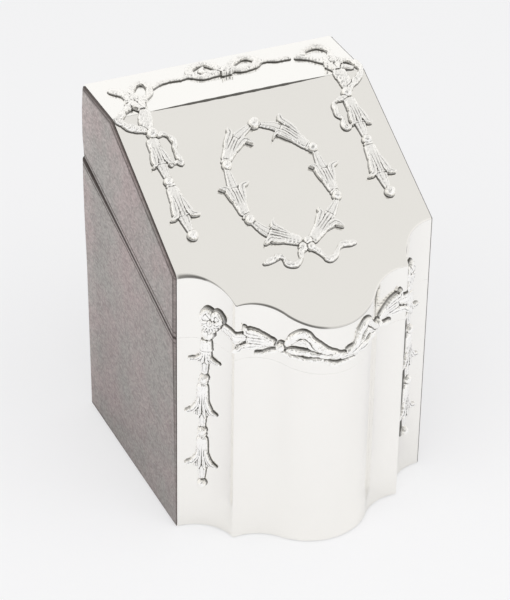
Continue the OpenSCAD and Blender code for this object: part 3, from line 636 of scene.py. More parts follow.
def worn(body, z, ny, d_low, d_top, d_front, y, out):
    """How deep the leather is sunk and how dark it is burnished at the given distances from its edges."""
    sink, dark = 0.0, 0.0
    # rounded at the joint and at the base, bevelled at the roof and along the front
    reach = 0.42 + 0.3 * share((y - 5.0) / 40.0)
    for d in (d_low, d_top):
        sink = max(sink, 0.2 * max(0.0, 1 - d / 0.35) ** 2)
        dark = max(dark, BURNT * share(1.6 - d / reach))
    face = max(0.0, out - FLUSH)
    wide = max(face, 0.3)
    fade = float(np.interp(z, (20, 60), (0.35, 1.0)))
    for d in (d_top, d_front) if body == "lid" and ny < 0.7 else (d_front,):
        sink = max(sink, face * max(0.0, 1 - d / wide) * max(0.0, 1 - 1.2 * max(0.0, ny)))
        if d < wide:
            dark = max(dark, 0.38 * fade, fade * BURNT * max(0.0, 1 - d / 0.36))
        dark = max(dark, fade * BURNT * max(0.0, 1 - abs(d - wide) / (0.26 if d < wide else 0.8)))
    k = max(0.0, 1 - (((d_low if body == "lid" else d_top) - LINE_IN) / LINE_HALF) ** 2)
    return max(sink, LINE_DEEP * k * k), max(dark, 0.9 * k)


def leather_wrap(name, node_name, body):
    """Leather round the left side, the back and the right side, with bevelled edges beside the silver
    and tooled lines along the joint."""
    edge = [0.0, 0.1, 0.25, 0.45, 0.65, 0.85, 1.0, 1.1, 1.25]
    low_d = edge[:4] + [0.8, 1.3, 1.42, 1.54, 1.66, 1.78, 1.9, 2.02, 2.14]
    top_d = low_d if body == "box" else edge + [1.5, 2.05]
    ys = [FRONT_SET + v * (1 - FRONT_SET / SIDE_D) for v in spread(SIDE_D, edge + [1.5, 2.0], [0.0], 1.6)]
    bends = [Y_CREASE - Y_FRONT, Y_BACK - BEVEL_D - Y_FRONT - 0.001]
    ys = sorted(set([round(v, 4) for v in ys] + bends))
    # stations along the left side, round its corner and over the back: x (at the sides it follows from
    # how far the leather stands out there), y, normal and distance behind the front edge
    plan = [(None, Y_FRONT + s, -1.0, 0.0, s) for s in ys]
    for i in range(1, TURN_STEPS + 1):
        a = math.pi / 2 * i / TURN_STEPS
        plan.append((None, Y_BACK - CORNER_R + CORNER_R * math.sin(a), -math.cos(a), math.sin(a), FAR))
    half_back = HALF_W + EDGE_OUT - CORNER_R
    for i in range(1, BACK_STEPS):
        plan.append((-half_back + 2 * half_back * i / BACK_STEPS, Y_BACK, 0.0, 1.0, FAR))
    side_count = len(ys) + TURN_STEPS
    cols, burns, ends = [], [], []
    for x_back, y, nx, ny, s in plan:
        under_silver = share(ny * 2 - 0.8)
        lo = BAIZE_T if body == "box" else lid_low(y)
        hi = joint_z(y) if body == "box" else min(roof_z(y) - ROOF_DROP, BACK_H - SILVER_T * under_silver)
        cl = ch = 1.0
        if ny <= 0.999:
            cl = JOINT_COS if body == "lid" else 1.0
            ch = JOINT_COS if body == "box" else ROOF_COS if y < Y_CREASE else 1.0
        a, b = lo + low_d[-1] / cl, hi - top_d[-1] / ch
        zs = [lo + d / cl for d in low_d] + [a + (b - a) * i / RISE_STEPS for i in range(1, RISE_STEPS)]
        zs += [hi - d / ch for d in top_d[::-1]]
        col, burn = [], []
        for z in zs:
            out = side_out(body, y, z)
            sink, dark = worn(body, z, ny, (z - lo) * cl, (hi - z) * ch, s, y, out)
            x = -HALF_W - out + (CORNER_R * (1 + nx) if ny > 0 else 0.0) if x_back is None else x_back
            col.append((x - nx * sink, y - ny * sink, z))
            burn.append(dark)
        cols.append(col)
        burns.append(burn)
        ends.append((lo, hi))
    # the inner edge under each station
    spots = [(-INNER, Y_FRONT + s) for s in ys]
    for i in range(1, TURN_STEPS + 1):
        turn = 1.4 * i / TURN_STEPS
        spots.append((max(-INNER, -INNER + turn - 0.7), Y_BACK - CORNER_R + min(0.7, turn)))
    spots += [(max(-INNER, min(INNER, c[0][0])), Y_BACK - LEATHER_T) for c in cols[side_count:]]
    spots += [(-x, y) for x, y in spots[:side_count][::-1]]
    # the right side is laid flatter
    cols += [[(-x - 0.6 * max(0.0, -x - HALF_W - 0.35), y, z) for x, y, z in c]
             for c in cols[:side_count][::-1]]
    burns += burns[:side_count][::-1]
    ends += ends[:side_count][::-1]
    n, rows = len(cols), len(cols[0])
    verts, burn = [v for c in cols for v in c], [b for c in burns for b in c]
    faces = []
    for i in range(n - 1):
        faces += [(a, a + rows, a + rows + 1, a + 1) for a in range(i * rows, (i + 1) * rows - 1)]
    base = len(verts)
    for (x, y), (lo, hi) in zip(spots, ends):
        y = min(y, Y_BACK - LEATHER_T)
        verts += [(x, y, lo + INNER_DROP), (x, y, hi - INNER_DROP)]
        burn += [INNER_DARK] * 2
    for i in range(n - 1):
        a, b = base + 2 * i, base + 2 * i + 2
        faces.append((a, a + 1, b + 1, b))
        faces.append((i * rows, a, b, (i + 1) * rows))
        faces.append((i * rows + rows - 1, (i + 1) * rows + rows - 1, b + 1, a + 1))
    last = (n - 1) * rows
    faces.append(list(range(rows)) + [base + 1, base])
    faces.append([base + 2 * n - 2, base + 2 * n - 1] + list(range(last + rows - 1, last - 1, -1)))
    if body == "box":
        verts = [worn_corner(*v) for v in verts]
    o = add_piece(name, verts, faces, body, LEATHER, [node_name])
    paint(o.data, "burnish", burn)


leather_wrap("case_leather_wrap", "box_leather", "box")
leather_wrap("lid_leather_wrap", "lid_leather", "lid")


# ---------- castings
# A casting is a bag of closed soft forms in flat coordinates: two along the surface and the height over
# it. The forms are melted together, smoothed, and laid on the slope, the top or the curved front.
def spline(points, step=0.25):
    """Smooth curve through points of any dimension."""
    p = np.asarray(points, float)
    ends = np.vstack([2 * p[0] - p[1], p, 2 * p[-1] - p[-2]])
    out = []
    for i in range(1, len(ends) - 2):
        a, b, c, d = ends[i - 1:i + 3]
        k = max(2, int(np.linalg.norm((c - b)[:2]) / step) + 1)
        t = np.linspace(0, 1, k, endpoint=False)[:, None]
        out.append(0.5 * (2 * b + (c - a) * t + (2 * a - 5 * b + 4 * c - d) * t**2
                          + (3 * b - a - 3 * c + d) * t**3))
    out.append(p[-1:])
    return np.vstack(out)


def course(values, u):
    """Values given as (place, value) pairs, read smoothly at the places u between 0 and 1."""
    at, val = np.array(values, float).T
    i = np.clip(np.searchsorted(at, u, side="right") - 1, 0, len(at) - 2)
    t = np.clip((u - at[i]) / (at[i + 1] - at[i]), 0, 1)
    t = t * t * (3 - 2 * t) * 0.5 + t * 0.5
    return val[i] + (val[i + 1] - val[i]) * t


def arc_lengths(p):
    """Distance of each point from the first one along a flat curve."""
    return np.concatenate([[0], np.cumsum(np.linalg.norm(np.diff(p[:, :2], axis=0), axis=1))])


def unit(v):
    return v / np.maximum(1e-9, np.linalg.norm(v, axis=1))[:, None]


def headings(p):
    """Unit vectors along a curve at its points."""
    return unit(np.gradient(p, axis=0))


class Track:
    """A flat curve that forms are bent along: a distance along it and a distance to its left give a point."""

    def __init__(self, points):
        self.p = spline(points, 0.2)
        self.s = arc_lengths(self.p)
        self.t = headings(self.p)
        self.length = self.s[-1]

    def bend(self, v):
        along, aside, h = v.T
        u = np.clip(along, 0, self.length)
        over = along - u
        x, y, tx, ty = (np.interp(u, self.s, q) for q in (*self.p.T, *self.t.T))
        k = np.hypot(tx, ty)
        tx, ty = tx / k, ty / k
        return np.column_stack([x + tx * over - ty * aside, y + ty * over + tx * aside, h])


FLOOR_H = -0.25  # the forms reach a little into the plate before they are melted together
FOOT_H = -0.04  # and are trimmed to this height after it
ARCH_SIDES, BLADE_SIDES, BEAD_SIDES = 26, 11, 20  # points across or round a form


class Bag:
    """Closed soft forms that become one casting."""

    def __init__(self):
        self.verts, self.faces, self.count = [], [], 0

    def add(self, rings, track=None):
        """Closed form through rings of points, bent along a track if there is one."""
        v = rings.reshape(-1, 3)
        self.faces += tube(*rings.shape[:2], self.count)
        self.verts.append(track.bend(v) if track else v)
        self.count += len(v)

    def arch(self, path, wide, top, wall, track=None, grooves=(), rope=None):
        """Rounded bar on the plate with upright sides: wide is half its width and top its crown's height.
        Grooves are (angle, width, depth) over the crown. A rope is (strands, depth, turns along the path)."""
        p = np.asarray(path, float)[:, :2]
        k = len(p)
        t = headings(p)
        side = np.column_stack([-t[:, 1], t[:, 0]])
        wide, top, wall, floor = (np.broadcast_to(q, k)[:, None] for q in (wide, top, wall, FLOOR_H))
        wall = np.minimum(wall, top * 0.6)
        a = np.linspace(0, np.pi, ARCH_SIDES)
        f = np.ones((k, ARCH_SIDES))
        for at, w, d in grooves:
            d = np.broadcast_to(d, k)[:, None]
            f = f - d * np.exp(-(((a - math.radians(at)) / math.radians(w)) ** 2))
        if rope is not None:
            n, d, turn = rope
            f = f + d * np.cos(n * a + np.asarray(turn)[:, None])
        q = wide * np.cos(a) * (0.35 + 0.65 * f)
        z = wall + (top - wall) * np.sin(a) * f
        q = np.concatenate([q, -wide, wide], axis=1)
        z = np.concatenate([z, floor, floor], axis=1)
        ring = np.stack([p[:, :1] + side[:, :1] * q, p[:, 1:] + side[:, 1:] * q, z], axis=-1)
        self.add(ring, track)

    def blade(self, path, wide, thick, cup, rib, solid, track=None):
        """Leaf or petal along a path of (along, across, height): cup raises its edges, rib is the depth of
        its middle vein. Where solid is 1 it is filled down to the plate."""
        p = np.asarray(path, float)
        t = headings(p)
        side = unit(np.cross([0.0, 0.0, 1.0], t))
        up = np.cross(t, side)
        u = np.linspace(-1, 1, BLADE_SIDES)
        crown = np.sqrt(np.maximum(0, 1 - u**2))
        sizes = (wide, thick, cup, rib, solid)
        wide, thick, cup, rib, solid = (np.broadcast_to(q, len(p))[:, None] for q in sizes)
        top = thick * 0.5 * crown + cup * u**2 - rib * np.exp(-((u / 0.2) ** 2))
        low = -thick * 0.5 * crown + cup * u**2
        across = p[:, None] + side[:, None] * (wide * u)[..., None]
        v_top, v_low = (across + up[:, None] * z[..., None] for z in (top, low))
        v_low[..., 2] = v_low[..., 2] * (1 - solid) + FLOOR_H * solid
        self.add(np.concatenate([v_top, v_low[:, ::-1]], axis=1), track)

    def bead(self, x, y, r, h=None, squash=0.9):
        """Ball on the plate, with upright sides below its widest ring."""
        h = r * 0.62 if h is None else h
        a = np.clip(np.linspace(0, np.pi / 2, 8), 0.06, None)
        b = np.linspace(0, 2 * np.pi, BEAD_SIDES, endpoint=False)
        spans = [(r * math.sin(t), h + r * squash * math.cos(t)) for t in a] + [(r, FLOOR_H)]
        self.add(np.stack([np.stack([x + q * np.cos(b), y + q * np.sin(b), np.full(BEAD_SIDES, z)], axis=-1)
                           for q, z in spans[::-1]]))


def ribbon(bag, points, width, height, pitch, start=0.0, swell=0.14):
    """Limp ribbon through flat points. Its pitch is the length of one twist, start where that begins."""
    p = spline(points)
    s = arc_lengths(p)
    total = s[-1]
    turn = start + s * 2 * math.pi / pitch
    ends = np.clip(np.minimum(s, total - s) / (width * 0.5), 0, 1)
    taper = 0.4 + 0.6 * np.sqrt(ends)
    wide = width * 0.5 * taper * (1 + swell * np.sin(turn * 0.5))
    top = height * (0.55 + 0.45 * taper) * (1 + 0.10 * np.sin(turn * 0.5 + 0.9))
    bag.arch(p, wide, top, 0.45 * height, rope=(2, 0.16, turn))


def leaf(bag, a, b, width, h0, h1, lift=0.25, veins=0.22, tip=0.14):
    """Broad pointed leaf of a bow, from its root to its raised tip."""
    a, b = np.array(a, float), np.array(b, float)
    p = spline([(*a, h0), (*((a + b) / 2), max(h0, h1) - 0.05), (*b, h1 + lift)])
    u = np.linspace(0, 1, len(p))
    bag.blade(p, width * 0.5 * course([(0, 0.75), (0.35, 1.0), (0.65, 0.86), (0.88, 0.48), (1, tip)], u),
              thick=course([(0, 0.9), (1, 0.5)], u),
              cup=course([(0, 0.02), (0.6, 0.2), (1, 0.05)], u),
              rib=veins * course([(0, 0.6), (0.5, 1), (1, 0.2)], u),
              solid=course([(0, 1.0), (0.8, 1.0), (1, 0.4)], u))


# Half width of a husk's tongue along it
TONGUE = ((0, 1.1), (0.3, 1.35), (0.6, 1.3), (1, 1.0))
TAPERED = ((0, 1.85), (0.3, 1.65), (0.65, 1.2), (1, 0.75))


def husk(bag, track, end, tips, half, height, shape, petal, lobe):
    """Bellflower along a track from its foot: a fluted bell, two side petals that curl out to their raised
    tips, given as (along, across), two short ones between them and a tongue to the track's end. Shape is the
    width of the bell at its foot, middle and mouth. One with a narrow mouth has no short petals."""
    k, hh = half / 2.1, height
    foot, middle, mouth = shape
    u = np.linspace(0, 1, 16)
    bell = [(0, 0.62 * foot), (0.05, 0.9 * foot), (0.14, foot), (0.5, middle),
            (0.7, 0.75 * middle + 0.25 * mouth), (0.88, 0.35 * middle + 0.65 * mouth), (1, mouth)]
    wide = half * course(bell, u)
    top = hh * course([(0, 0.9), (0.05, 1.35), (0.3, 1.5), (0.7, 1.6), (0.9, 1.5), (1, 1.1)], u)
    fade = course([(0, 0.0), (0.2, 0.3), (0.6, 1.0), (1, 1.4)], u)
    bag.arch(np.column_stack([u * end, np.zeros_like(u)]), wide, top, 0.6 * hh, track,
             [(at, 6.5, 0.17 * fade) for at in (33, 61, 90, 119, 147)])
    is_open = mouth >= 1.1
    flare = (0.06, 0.36) if is_open else (-0.03, 0.16)
    rise = (1.15, 0.95, 0.7) if is_open else (1.35, 1.45, 1.65)
    taper = (0.78, 0.58, 0.26) if is_open else (0.58, 0.3, 0.13)
    for along, across in tips:
        s, far, a = math.copysign(1.0, across), abs(across), max(along, 0.9 * end)
        w = middle * half
        path = spline([
            (0.42 * end, s * 0.55 * w, 1.0 * hh),
            (0.64 * end, s * 0.78 * w, 1.2 * hh),
            (0.80 * a, s * (w + flare[0] * (far - w)), rise[0] * hh),
            (0.93 * a, s * (w + flare[1] * (far - w)), rise[1] * hh),
            (along, s * far, rise[2] * hh),
        ])
        v = arc_lengths(path)
        v = v / v[-1]
        reach = [(0, 0.5), (0.35, 0.85), (0.6, 0.9), *zip((0.8, 0.93, 1), taper)]
        bag.blade(path, petal * k * course(reach, v),
                  thick=hh * course([(0, 0.8), (0.6, 0.85), (1, 0.45)], v),
                  cup=0.05 * hh,
                  rib=hh * course([(0, 0.05), (0.4, 0.14), (0.85, 0.14), (1, 0.0)], v),
                  solid=course([(0, 1.0), (0.85, 1.0), (1, 0.7)], v), track=track)
        if is_open:
            inner = spline([(q * end, s * r * half, h * hh)
                            for q, r, h in ((0.62, 0.3, 1.3), (0.9, 0.42, 1.3), (1.1, 0.66, 1.05))])
            v = np.linspace(0, 1, len(inner))
            bag.blade(inner, k * course([(0, 0.5), (0.6, 0.62), (1, 0.2)], v), 0.7 * hh,
                      cup=0.04, rib=0.12 * hh, solid=1.0, track=track)
    v = np.linspace(0, 1, 14)
    run = np.column_stack([0.85 * end + (track.length - 0.85 * end) * v, np.zeros(14)])
    bag.arch(run, k * course(lobe, v), hh * course([(0, 0.7), (0.3, 0.95), (1, 0.9)], v), 0.45 * hh, track,
             [(58, 9, 0.2), (122, 9, 0.2)])


def flower(bag, foot, mouth, tips, tongue, half, height, shape, petal=1.0, lobe=TONGUE):
    """Husk given by points on the surface: foot, middle of the mouth, tips and the end of the tongue."""
    track = Track([foot, mouth, tongue])
    i = int(np.argmin(np.linalg.norm(track.p - mouth, axis=1)))
    t = track.t[i]
    places = [(track.s[i] + d @ t, d @ (-t[1], t[0])) for d in (q - track.p[i] for q in tips)]
    husk(bag, track, track.s[i], places, half, height, shape, petal, lobe)


def link_bead(bag, at, toward=None):
    """Bead, and the collar under it that the next husk grows from."""
    r = 1.6
    bag.bead(*at, r)
    if toward is not None:
        d = np.array(toward, float) - at
        d = d / np.linalg.norm(d) * r
        bag.arch([at + d * q for q in (0.6, 0.85, 1.1, 1.3)], np.array([0.8, 0.98, 0.98, 0.8]) * r,
                 np.array([0.85, 0.95, 0.95, 0.8]) * r, 0.4 * r)


# The flat coordinates of a casting, laid on the surfaces of the box
BEND_R = 1.8  # the corner bows are bent over the crease at this radius


def to_slope(v):
    x, u, h = v.T
    return np.column_stack([x, Y_CREASE - u * ROOF_COS - h * ROOF_SIN, BACK_H - u * ROOF_SIN + h * ROOF_COS])


def to_top(v):
    x, u, h = v.T
    return np.column_stack([x, Y_BACK - u, BACK_H + h])


def to_bend(v):
    """Over the crease: the second coordinate runs from the back edge along the top and on down the slope."""
    x, u, h = v.T
    start = TOP_D - BEND_R * math.tan(ROOF_A / 2)
    a = np.clip((u - start) / BEND_R, 0, ROOF_A)
    over = u - start - a * BEND_R
    y = Y_BACK - start - BEND_R * np.sin(a) - over * np.cos(a)
    z = BACK_H - BEND_R * (1 - np.cos(a)) - over * np.sin(a)
    return np.column_stack([x, y - h * np.sin(a), z + h * np.cos(a)])


FRONT_XY, FRONT_N = OUT_XY[::-1], OUT_N[::-1]
FRONT_S = arc_lengths(FRONT_XY)
FRONT_S -= FRONT_S[-1] / 2


def to_front(v):
    along, z, h = v.T
    x, y, nx, ny = (np.interp(along, FRONT_S, q) for q in (*FRONT_XY.T, *FRONT_N.T))
    k = np.hypot(nx, ny)
    return np.column_stack([x + nx / k * h, y + ny / k * h, z])


def fp(x, z):
    """Point of the front over a given x, as its length along the front and its height."""
    return float(np.interp(x, FRONT_XY[:, 0], FRONT_S)), z


def front_point(side):
    """As fp, for a function that is mirrored on the left side."""
    return lambda x, z: (side * fp(x, z)[0], z)


def listed(items, key, width=3, kind=float):
    """One value of all items of a mesh, a row for each."""
    values = np.empty(len(items) * width, kind)
    items.foreach_get(key, values)
    return values.reshape(-1, width)


def casting(name, node_name, body, bag, place, dark, spill=0.3, crinkle=0.03, ink=23.0, voxel=0.13):
    """Melt a bag into one piece and lay it in its place. Dark is the flat direction in which the painted
    shadow and dark reflection round the foot lie most, spill how far they spread there and ink how dark the
    hollows are."""
    mesh = bpy.data.meshes.new(name)
    mesh.from_pydata(np.vstack(bag.verts).tolist(), [], bag.faces)
    raw = new_object(name + "_raw", mesh)
    melt = raw.modifiers.new("melt", "REMESH")
    melt.mode, melt.voxel_size = "VOXEL", voxel
    soft = raw.modifiers.new("soft", "SMOOTH")
    soft.factor, soft.iterations = 0.5, 1
    bpy.context.view_layer.update()
    done = bpy.data.meshes.new_from_object(raw.evaluated_get(bpy.context.evaluated_depsgraph_get()))
    bpy.data.objects.remove(raw)
    v, nrm = listed(done.vertices, "co"), listed(done.vertices, "normal")
    e = listed(done.edges, "vertices", 2, np.int64)

    def around(q):
        """Mean of the neighbours of each point."""
        total, count = np.zeros_like(q), np.zeros(len(v))
        for i, j in ((0, 1), (1, 0)):
            np.add.at(total, e[:, i], q[e[:, j]])
            np.add.at(count, e[:, i], 1)
        return total / np.maximum(count, 1).reshape((-1,) + (1,) * (q.ndim - 1))

    # tarnish and painted shade in the hollows, blurred a little, and painted shadow and dark reflection round
    # the foot, most on the dark side
    hollow = np.einsum("ij,ij->i", around(v) - v, nrm) / voxel
    for _ in range(2):
        hollow = 0.5 * hollow + 0.5 * around(hollow)
    flat = np.linalg.norm(nrm[:, :2], axis=1)
    side = nrm[:, :2] / np.maximum(flat, 1e-6)[:, None]
    away = np.clip(0.25 + 0.95 * side @ (np.array(dark) / np.linalg.norm(dark)), 0, 1)
    foot = np.clip((0.55 - v[:, 2]) / 0.25, 0, 1) * (0.3 + 0.7 * away)
    hollow = np.maximum(np.clip(hollow * ink - 0.3, 0, 1), foot)
    x, y = v[:, 0], v[:, 1]
    waves = (np.sin(5.1 * x + 1.3 * y) + np.sin(4.6 * y - 2.4 * x + 1)
             + np.sin(3.7 * x + 4.1 * y + 2) + 0.5 * np.sin(9.1 * x - 7.3 * y))
    v += nrm * (crinkle * waves * np.clip(v[:, 2] / 0.5, 0, 1))[:, None]
    hollow = np.maximum(hollow, np.clip(0.5 * (np.abs(waves) - 2.45), 0, 0.4))
    # the foot is pushed out most on the dark side, which widens the painted shadow band there
    skirt = (flat > 0.3) * np.clip((0.40 - v[:, 2]) / 0.2, 0, 1) * (0.06 + spill * away)
    v[:, :2] += side * skirt[:, None]
    v[:, 2] = np.maximum(v[:, 2], FOOT_H)
    done.vertices.foreach_set("co", (place(v) * MM).ravel())
    if place is not to_front:
        done.flip_normals()
    done.name = name
    paint(done, "hollow", hollow)
    put(name, done, body, CAST, [node_name])


# Foot, mouth, tips and tongue of each husk
WREATH = (
    ((-1.0, 58.1), (-10.1, 52.6), ((-13.3, 56.6), (-7.5, 48.1)), (-14.4, 47.1)),
    ((-15.3, 44.6), (-15.5, 34.6), ((-20.6, 33.7), (-10.0, 33.5)), (-15.2, 26.8)),
    ((-14.4, 23.9), (-8.1, 16.7), ((-10.1, 12.6), (-2.5, 19.6)), (-1.2, 12.6)),
    ((14.8, 24.9), (8.2, 16.1), ((10.1, 11.4), (3.0, 19.3)), (1.2, 12.8)),
    ((16.8, 43.1), (16.4, 34.4), ((11.9, 32.4), (22.0, 33.2)), (16.2, 27.2)),
    ((2.3, 58.9), (11.9, 50.9), ((8.4, 48.1), (14.9, 56.6)), (16.4, 46.2)),
)


def wreath():
    bag = Bag()
    for places in WREATH:
        flower(bag, *places, 2.3, 1.0, (0.8, 1.0, 1.0), 1.15, TAPERED)
    for at, (foot, *_) in zip(((-14.7, 46.7), (-14.7, 25.7), (15.9, 25.9), (16.8, 45.0)), WREATH[1:5]):
        link_bead(bag, at, foot)
    for x, y, r in ((-0.1, 12.6, 1.95), (0.9, 58.6, 1.5), (-1.5, 60.3, 1.35), (1.2, 60.9, 1.35)):
        bag.bead(x, y, r)
    ribbon(bag, [(-0.2, 60.6), (-2.3, 61.6), (-3.5, 64.4), (-5.7, 65.7), (-8.3, 65.0), (-9.1, 62.6),
                 (-10.5, 61.8), (-13.1, 62.3), (-16.2, 63.1)], 1.7, 1.3, 3.8, swell=0.28)
    ribbon(bag, [(1.1, 60.9), (2.9, 62.5), (4.3, 65.2), (5.5, 66.6), (8.0, 65.7), (10.0, 63.5),
                 (11.8, 62.4), (14.2, 62.6), (16.6, 62.9)], 1.75, 1.3, 3.8, 1.0, 0.28)
    casting("slope_wreath", "wreath", "lid", bag, to_slope, (-0.6, 0.8), 0.34, voxel=0.15)


def pendant(name, node_name, low, lower, middle, upper, high, tail, start):
    """Two husks, one over the other, with a bead at each end and between, and a ribbon beside the lower."""
    bag = Bag()
    bag.bead(*low, 1.8)
    flower(bag, *lower, 2.2, 1.0, (0.95, 1.0, 0.95), 1.15, TAPERED)
    link_bead(bag, middle, upper[0])
    flower(bag, *upper, 2.4, 1.0, (0.85, 1.02, 0.9), 1.1, TAPERED)
    bag.bead(*high, 1.75)
    ribbon(bag, tail, 1.5, 1.3, 3.6, start, 0.28)
    casting(name, node_name, "lid", bag, to_slope, (-0.6, 0.8), 0.34)


def front_drop(name, node_name, side):
    """Stub under the rosette and three husks down the cove."""
    bag, p = Bag(), front_point(side)
    u = np.linspace(0, 1, 9)
    stub = np.column_stack([p(36.1, 75.3)[0] + 0 * u, 75.3 - 3.9 * u])
    bag.arch(stub, course([(0, 1.7), (0.2, 1.95), (0.8, 2.0), (1, 2.15)], u),
             course([(0, 1.2), (0.3, 1.5), (0.9, 1.75), (1, 1.6)], u), 0.8,
             grooves=[(62, 8, 0.1), (118, 8, 0.1)])
    flower(bag, p(36.1, 72.4), p(36.4, 66.6), (p(41.4, 67.9), p(32.7, 66.7)), p(36.5, 62.2),
           1.9, 0.85, (0.95, 1.05, 1.4), 0.9)
    for x, z, foot in ((36.6, 60.4, (37.1, 58.2)), (37.1, 39.6, (37.2, 37.2))):
        link_bead(bag, p(x, z), p(*foot))
        flower(bag, p(foot[0] - 0.1, foot[1]), p(37.1, z - 14.5), (p(42.5, z - 13.2), p(33.3, z - 14.2)),
               p(37.1, z - 19.4), 2.0, 0.95, (0.95, 1.0, 1.45))
    link_bead(bag, p(37.1, 18.2))
    # side towards which the painted shadow and dark reflection round the foot fall, and how far they spread
    dark, spill = ((0.8, 0.6), 0.3) if side < 0 else ((-0.95, 0.3), 1.1)
    casting(name, node_name, "box", bag, to_front, dark, spill, 0.03, 30.0)


def rosette(name, node_name, side):
    """Small bow with two loops over a ruff of petals, and the stub that runs on into the front drop."""
    bag, p = Bag(), front_point(side)
    mid_x, mid_z = 34.9, 82.4
    c = p(mid_x, mid_z)
    for points in (((35.1, 82.8), (36.9, 82.9), (37.2, 84.8), (36.1, 86.3), (35.0, 85.6), (34.9, 83.6)),
                   ((34.4, 83.2), (34.1, 85.2), (33.2, 86.0), (32.5, 84.9), (32.6, 83.4), (33.8, 82.4))):
        ribbon(bag, [p(*q) for q in points], 1.9, 1.7, 3.4)
    bag.bead(*p(36.0, 84.3), 1.7, 1.0, 0.45)
    bag.bead(*p(33.3, 84.1), 1.8, 0.75, 0.45)
    petals = (37.6, 81.9), (37.2, 80.4), (36.4, 79.0), (35.0, 78.3), (33.8, 79.2), (33.0, 80.6), (32.4, 82.1)
    for x, z in petals:
        leaf(bag, c, p(x, z), 2.0, 1.5, 1.15, lift=0.2, veins=0.25, tip=0.5)
        bag.bead(*p(0.85 * x + 0.15 * mid_x, 0.85 * z + 0.15 * mid_z), 0.6, 1.15, 0.7)
    bag.bead(*c, 1.2, 1.2)
    ribbon(bag, [p(35.4, 79.6), p(35.7, 77.6), p(35.9, 75.5)], 3.8, 1.35, 5.0)
    casting(name, node_name, "lid", bag, to_front, (-0.6 * side, 0.8), 0.95, 0.03, 22.0)


# Points, width, height and pitch of each strand
FESTOON = (
    (((-15.6, 77.6), (-14.8, 79.2), (-13.7, 81.3), (-11.9, 82.8), (-10.3, 82.6), (-8.5, 80.2), (-6.4, 78.0),
      (-3.8, 75.9), (-0.6, 75.0)), 2.5, 1.4, 5.6),
    (((-12.8, 79.8), (-11.0, 80.6), (-9.3, 78.3), (-7.2, 76.9), (-5.0, 75.6)), 1.4, 1.05, 4.4),
    (((-15.4, 76.0), (-12.5, 76.2), (-9.3, 75.8), (-6.3, 75.3), (-3.1, 74.9), (1.4, 74.3), (5.6, 74.6),
      (9.4, 75.0), (12.6, 75.6), (15.6, 76.3)), 1.9, 1.3, 4.8),
    (((-17.6, 75.6), (-15.4, 74.4), (-12.5, 73.6), (-9.0, 73.4), (-5.3, 73.4)), 1.4, 1.05, 4.2),
    (((-5.0, 72.9), (-2.7, 71.4), (-0.3, 71.0), (1.9, 71.5), (4.1, 71.8), (6.4, 73.0)), 1.5, 0.95, 3.4),
    (((-0.4, 73.9), (4.4, 73.4), (8.6, 73.6), (12.7, 73.6)), 1.5, 1.05, 4.2),
    (((2.0, 75.0), (5.4, 75.8), (6.6, 78.2), (7.4, 80.4), (9.2, 82.8), (11.0, 82.4), (12.6, 80.2),
      (14.4, 78.0), (16.4, 76.8)), 2.3, 1.4, 5.6),
    (((6.6, 76.2), (9.0, 77.0), (10.8, 79.2), (12.4, 77.8), (14.4, 76.4)), 1.4, 1.05, 4.4),
    (((-17.0, 75.2), (-19.8, 73.9), (-22.0, 72.9), (-24.0, 73.2)), 1.5, 1.1, 4.2),
    (((17.0, 75.2), (19.8, 73.9), (22.0, 73.3), (24.0, 73.4)), 1.5, 1.1, 4.2),
)


def festoon():
    bag = Bag()
    for side in (-1, 1):
        places = (18.2, 77.4), (26.9, 79.3), (27.6, 84.4), (30.4, 75.3), (32.2, 81.4)
        foot, mouth, *tips, tongue = (fp(x * side, z) for x, z in places)
        flower(bag, foot, mouth, tips, tongue, 2.9, 0.95, (0.5, 0.9, 1.05), 1.1)
        bag.bead(*fp(16.6 * side, 76.8), 1.6)
    for points, w, h, pitch in FESTOON:
        ribbon(bag, [fp(*q) for q in points], w, h, pitch, points[0][0])
    casting("lip_festoon", "front_festoon", "lid", bag, to_front, (0.5, 0.87), 0.6, 0.035, 24.0)


# Points, width, height, pitch and start of each strand
TOP_RIBBON = (
    (((-0.6, 10.9), (-3.6, 11.0), (-7.6, 11.5), (-10.2, 9.4), (-9.9, 5.8), (-7.2, 3.6), (-3.8, 3.6),
      (-1.4, 5.6), (0.2, 9.0)), 2.3, 1.5, 6.0, 0.0),
    (((-4.6, 10.4), (-6.4, 7.6), (-4.6, 5.6)), 1.6, 1.1, 4.6, 0.0),
    (((1.8, 10.9), (4.4, 10.4), (7.4, 11.8), (11.4, 11.0), (14.0, 8.4), (13.0, 5.6), (9.8, 4.5), (6.2, 5.8),
      (3.2, 8.6)), 2.3, 1.5, 6.0, 1.0),
    (((-9.6, 10.2), (-12.1, 8.9), (-15.4, 9.6), (-19.9, 9.2), (-23.1, 10.1), (-25.1, 11.5), (-26.6, 12.6)),
     1.6, 0.9, 5.2, 0.0),
    (((13.4, 9.0), (16.7, 8.6), (19.8, 9.9), (23.2, 9.8), (25.4, 10.2)), 1.6, 0.9, 5.2, 2.0),
)


def top_ribbon():
    bag = Bag()
    bag.bead(1.0, 11.1, 1.8, 1.1)
    leaf(bag, (-1.6, 9.6), (3.2, 12.9), 2.3, 1.5, 1.5)
    leaf(bag, (2.8, 9.2), (-1.0, 13.4), 2.1, 1.5, 1.5)
    for points, w, h, pitch, start in TOP_RIBBON:
        ribbon(bag, points, w, h, pitch, start, 0.22)
    casting("top_ribbon_bow", "top_ribbon", "lid", bag, to_top, (-0.4, 0.9), 0.3, 0.05)


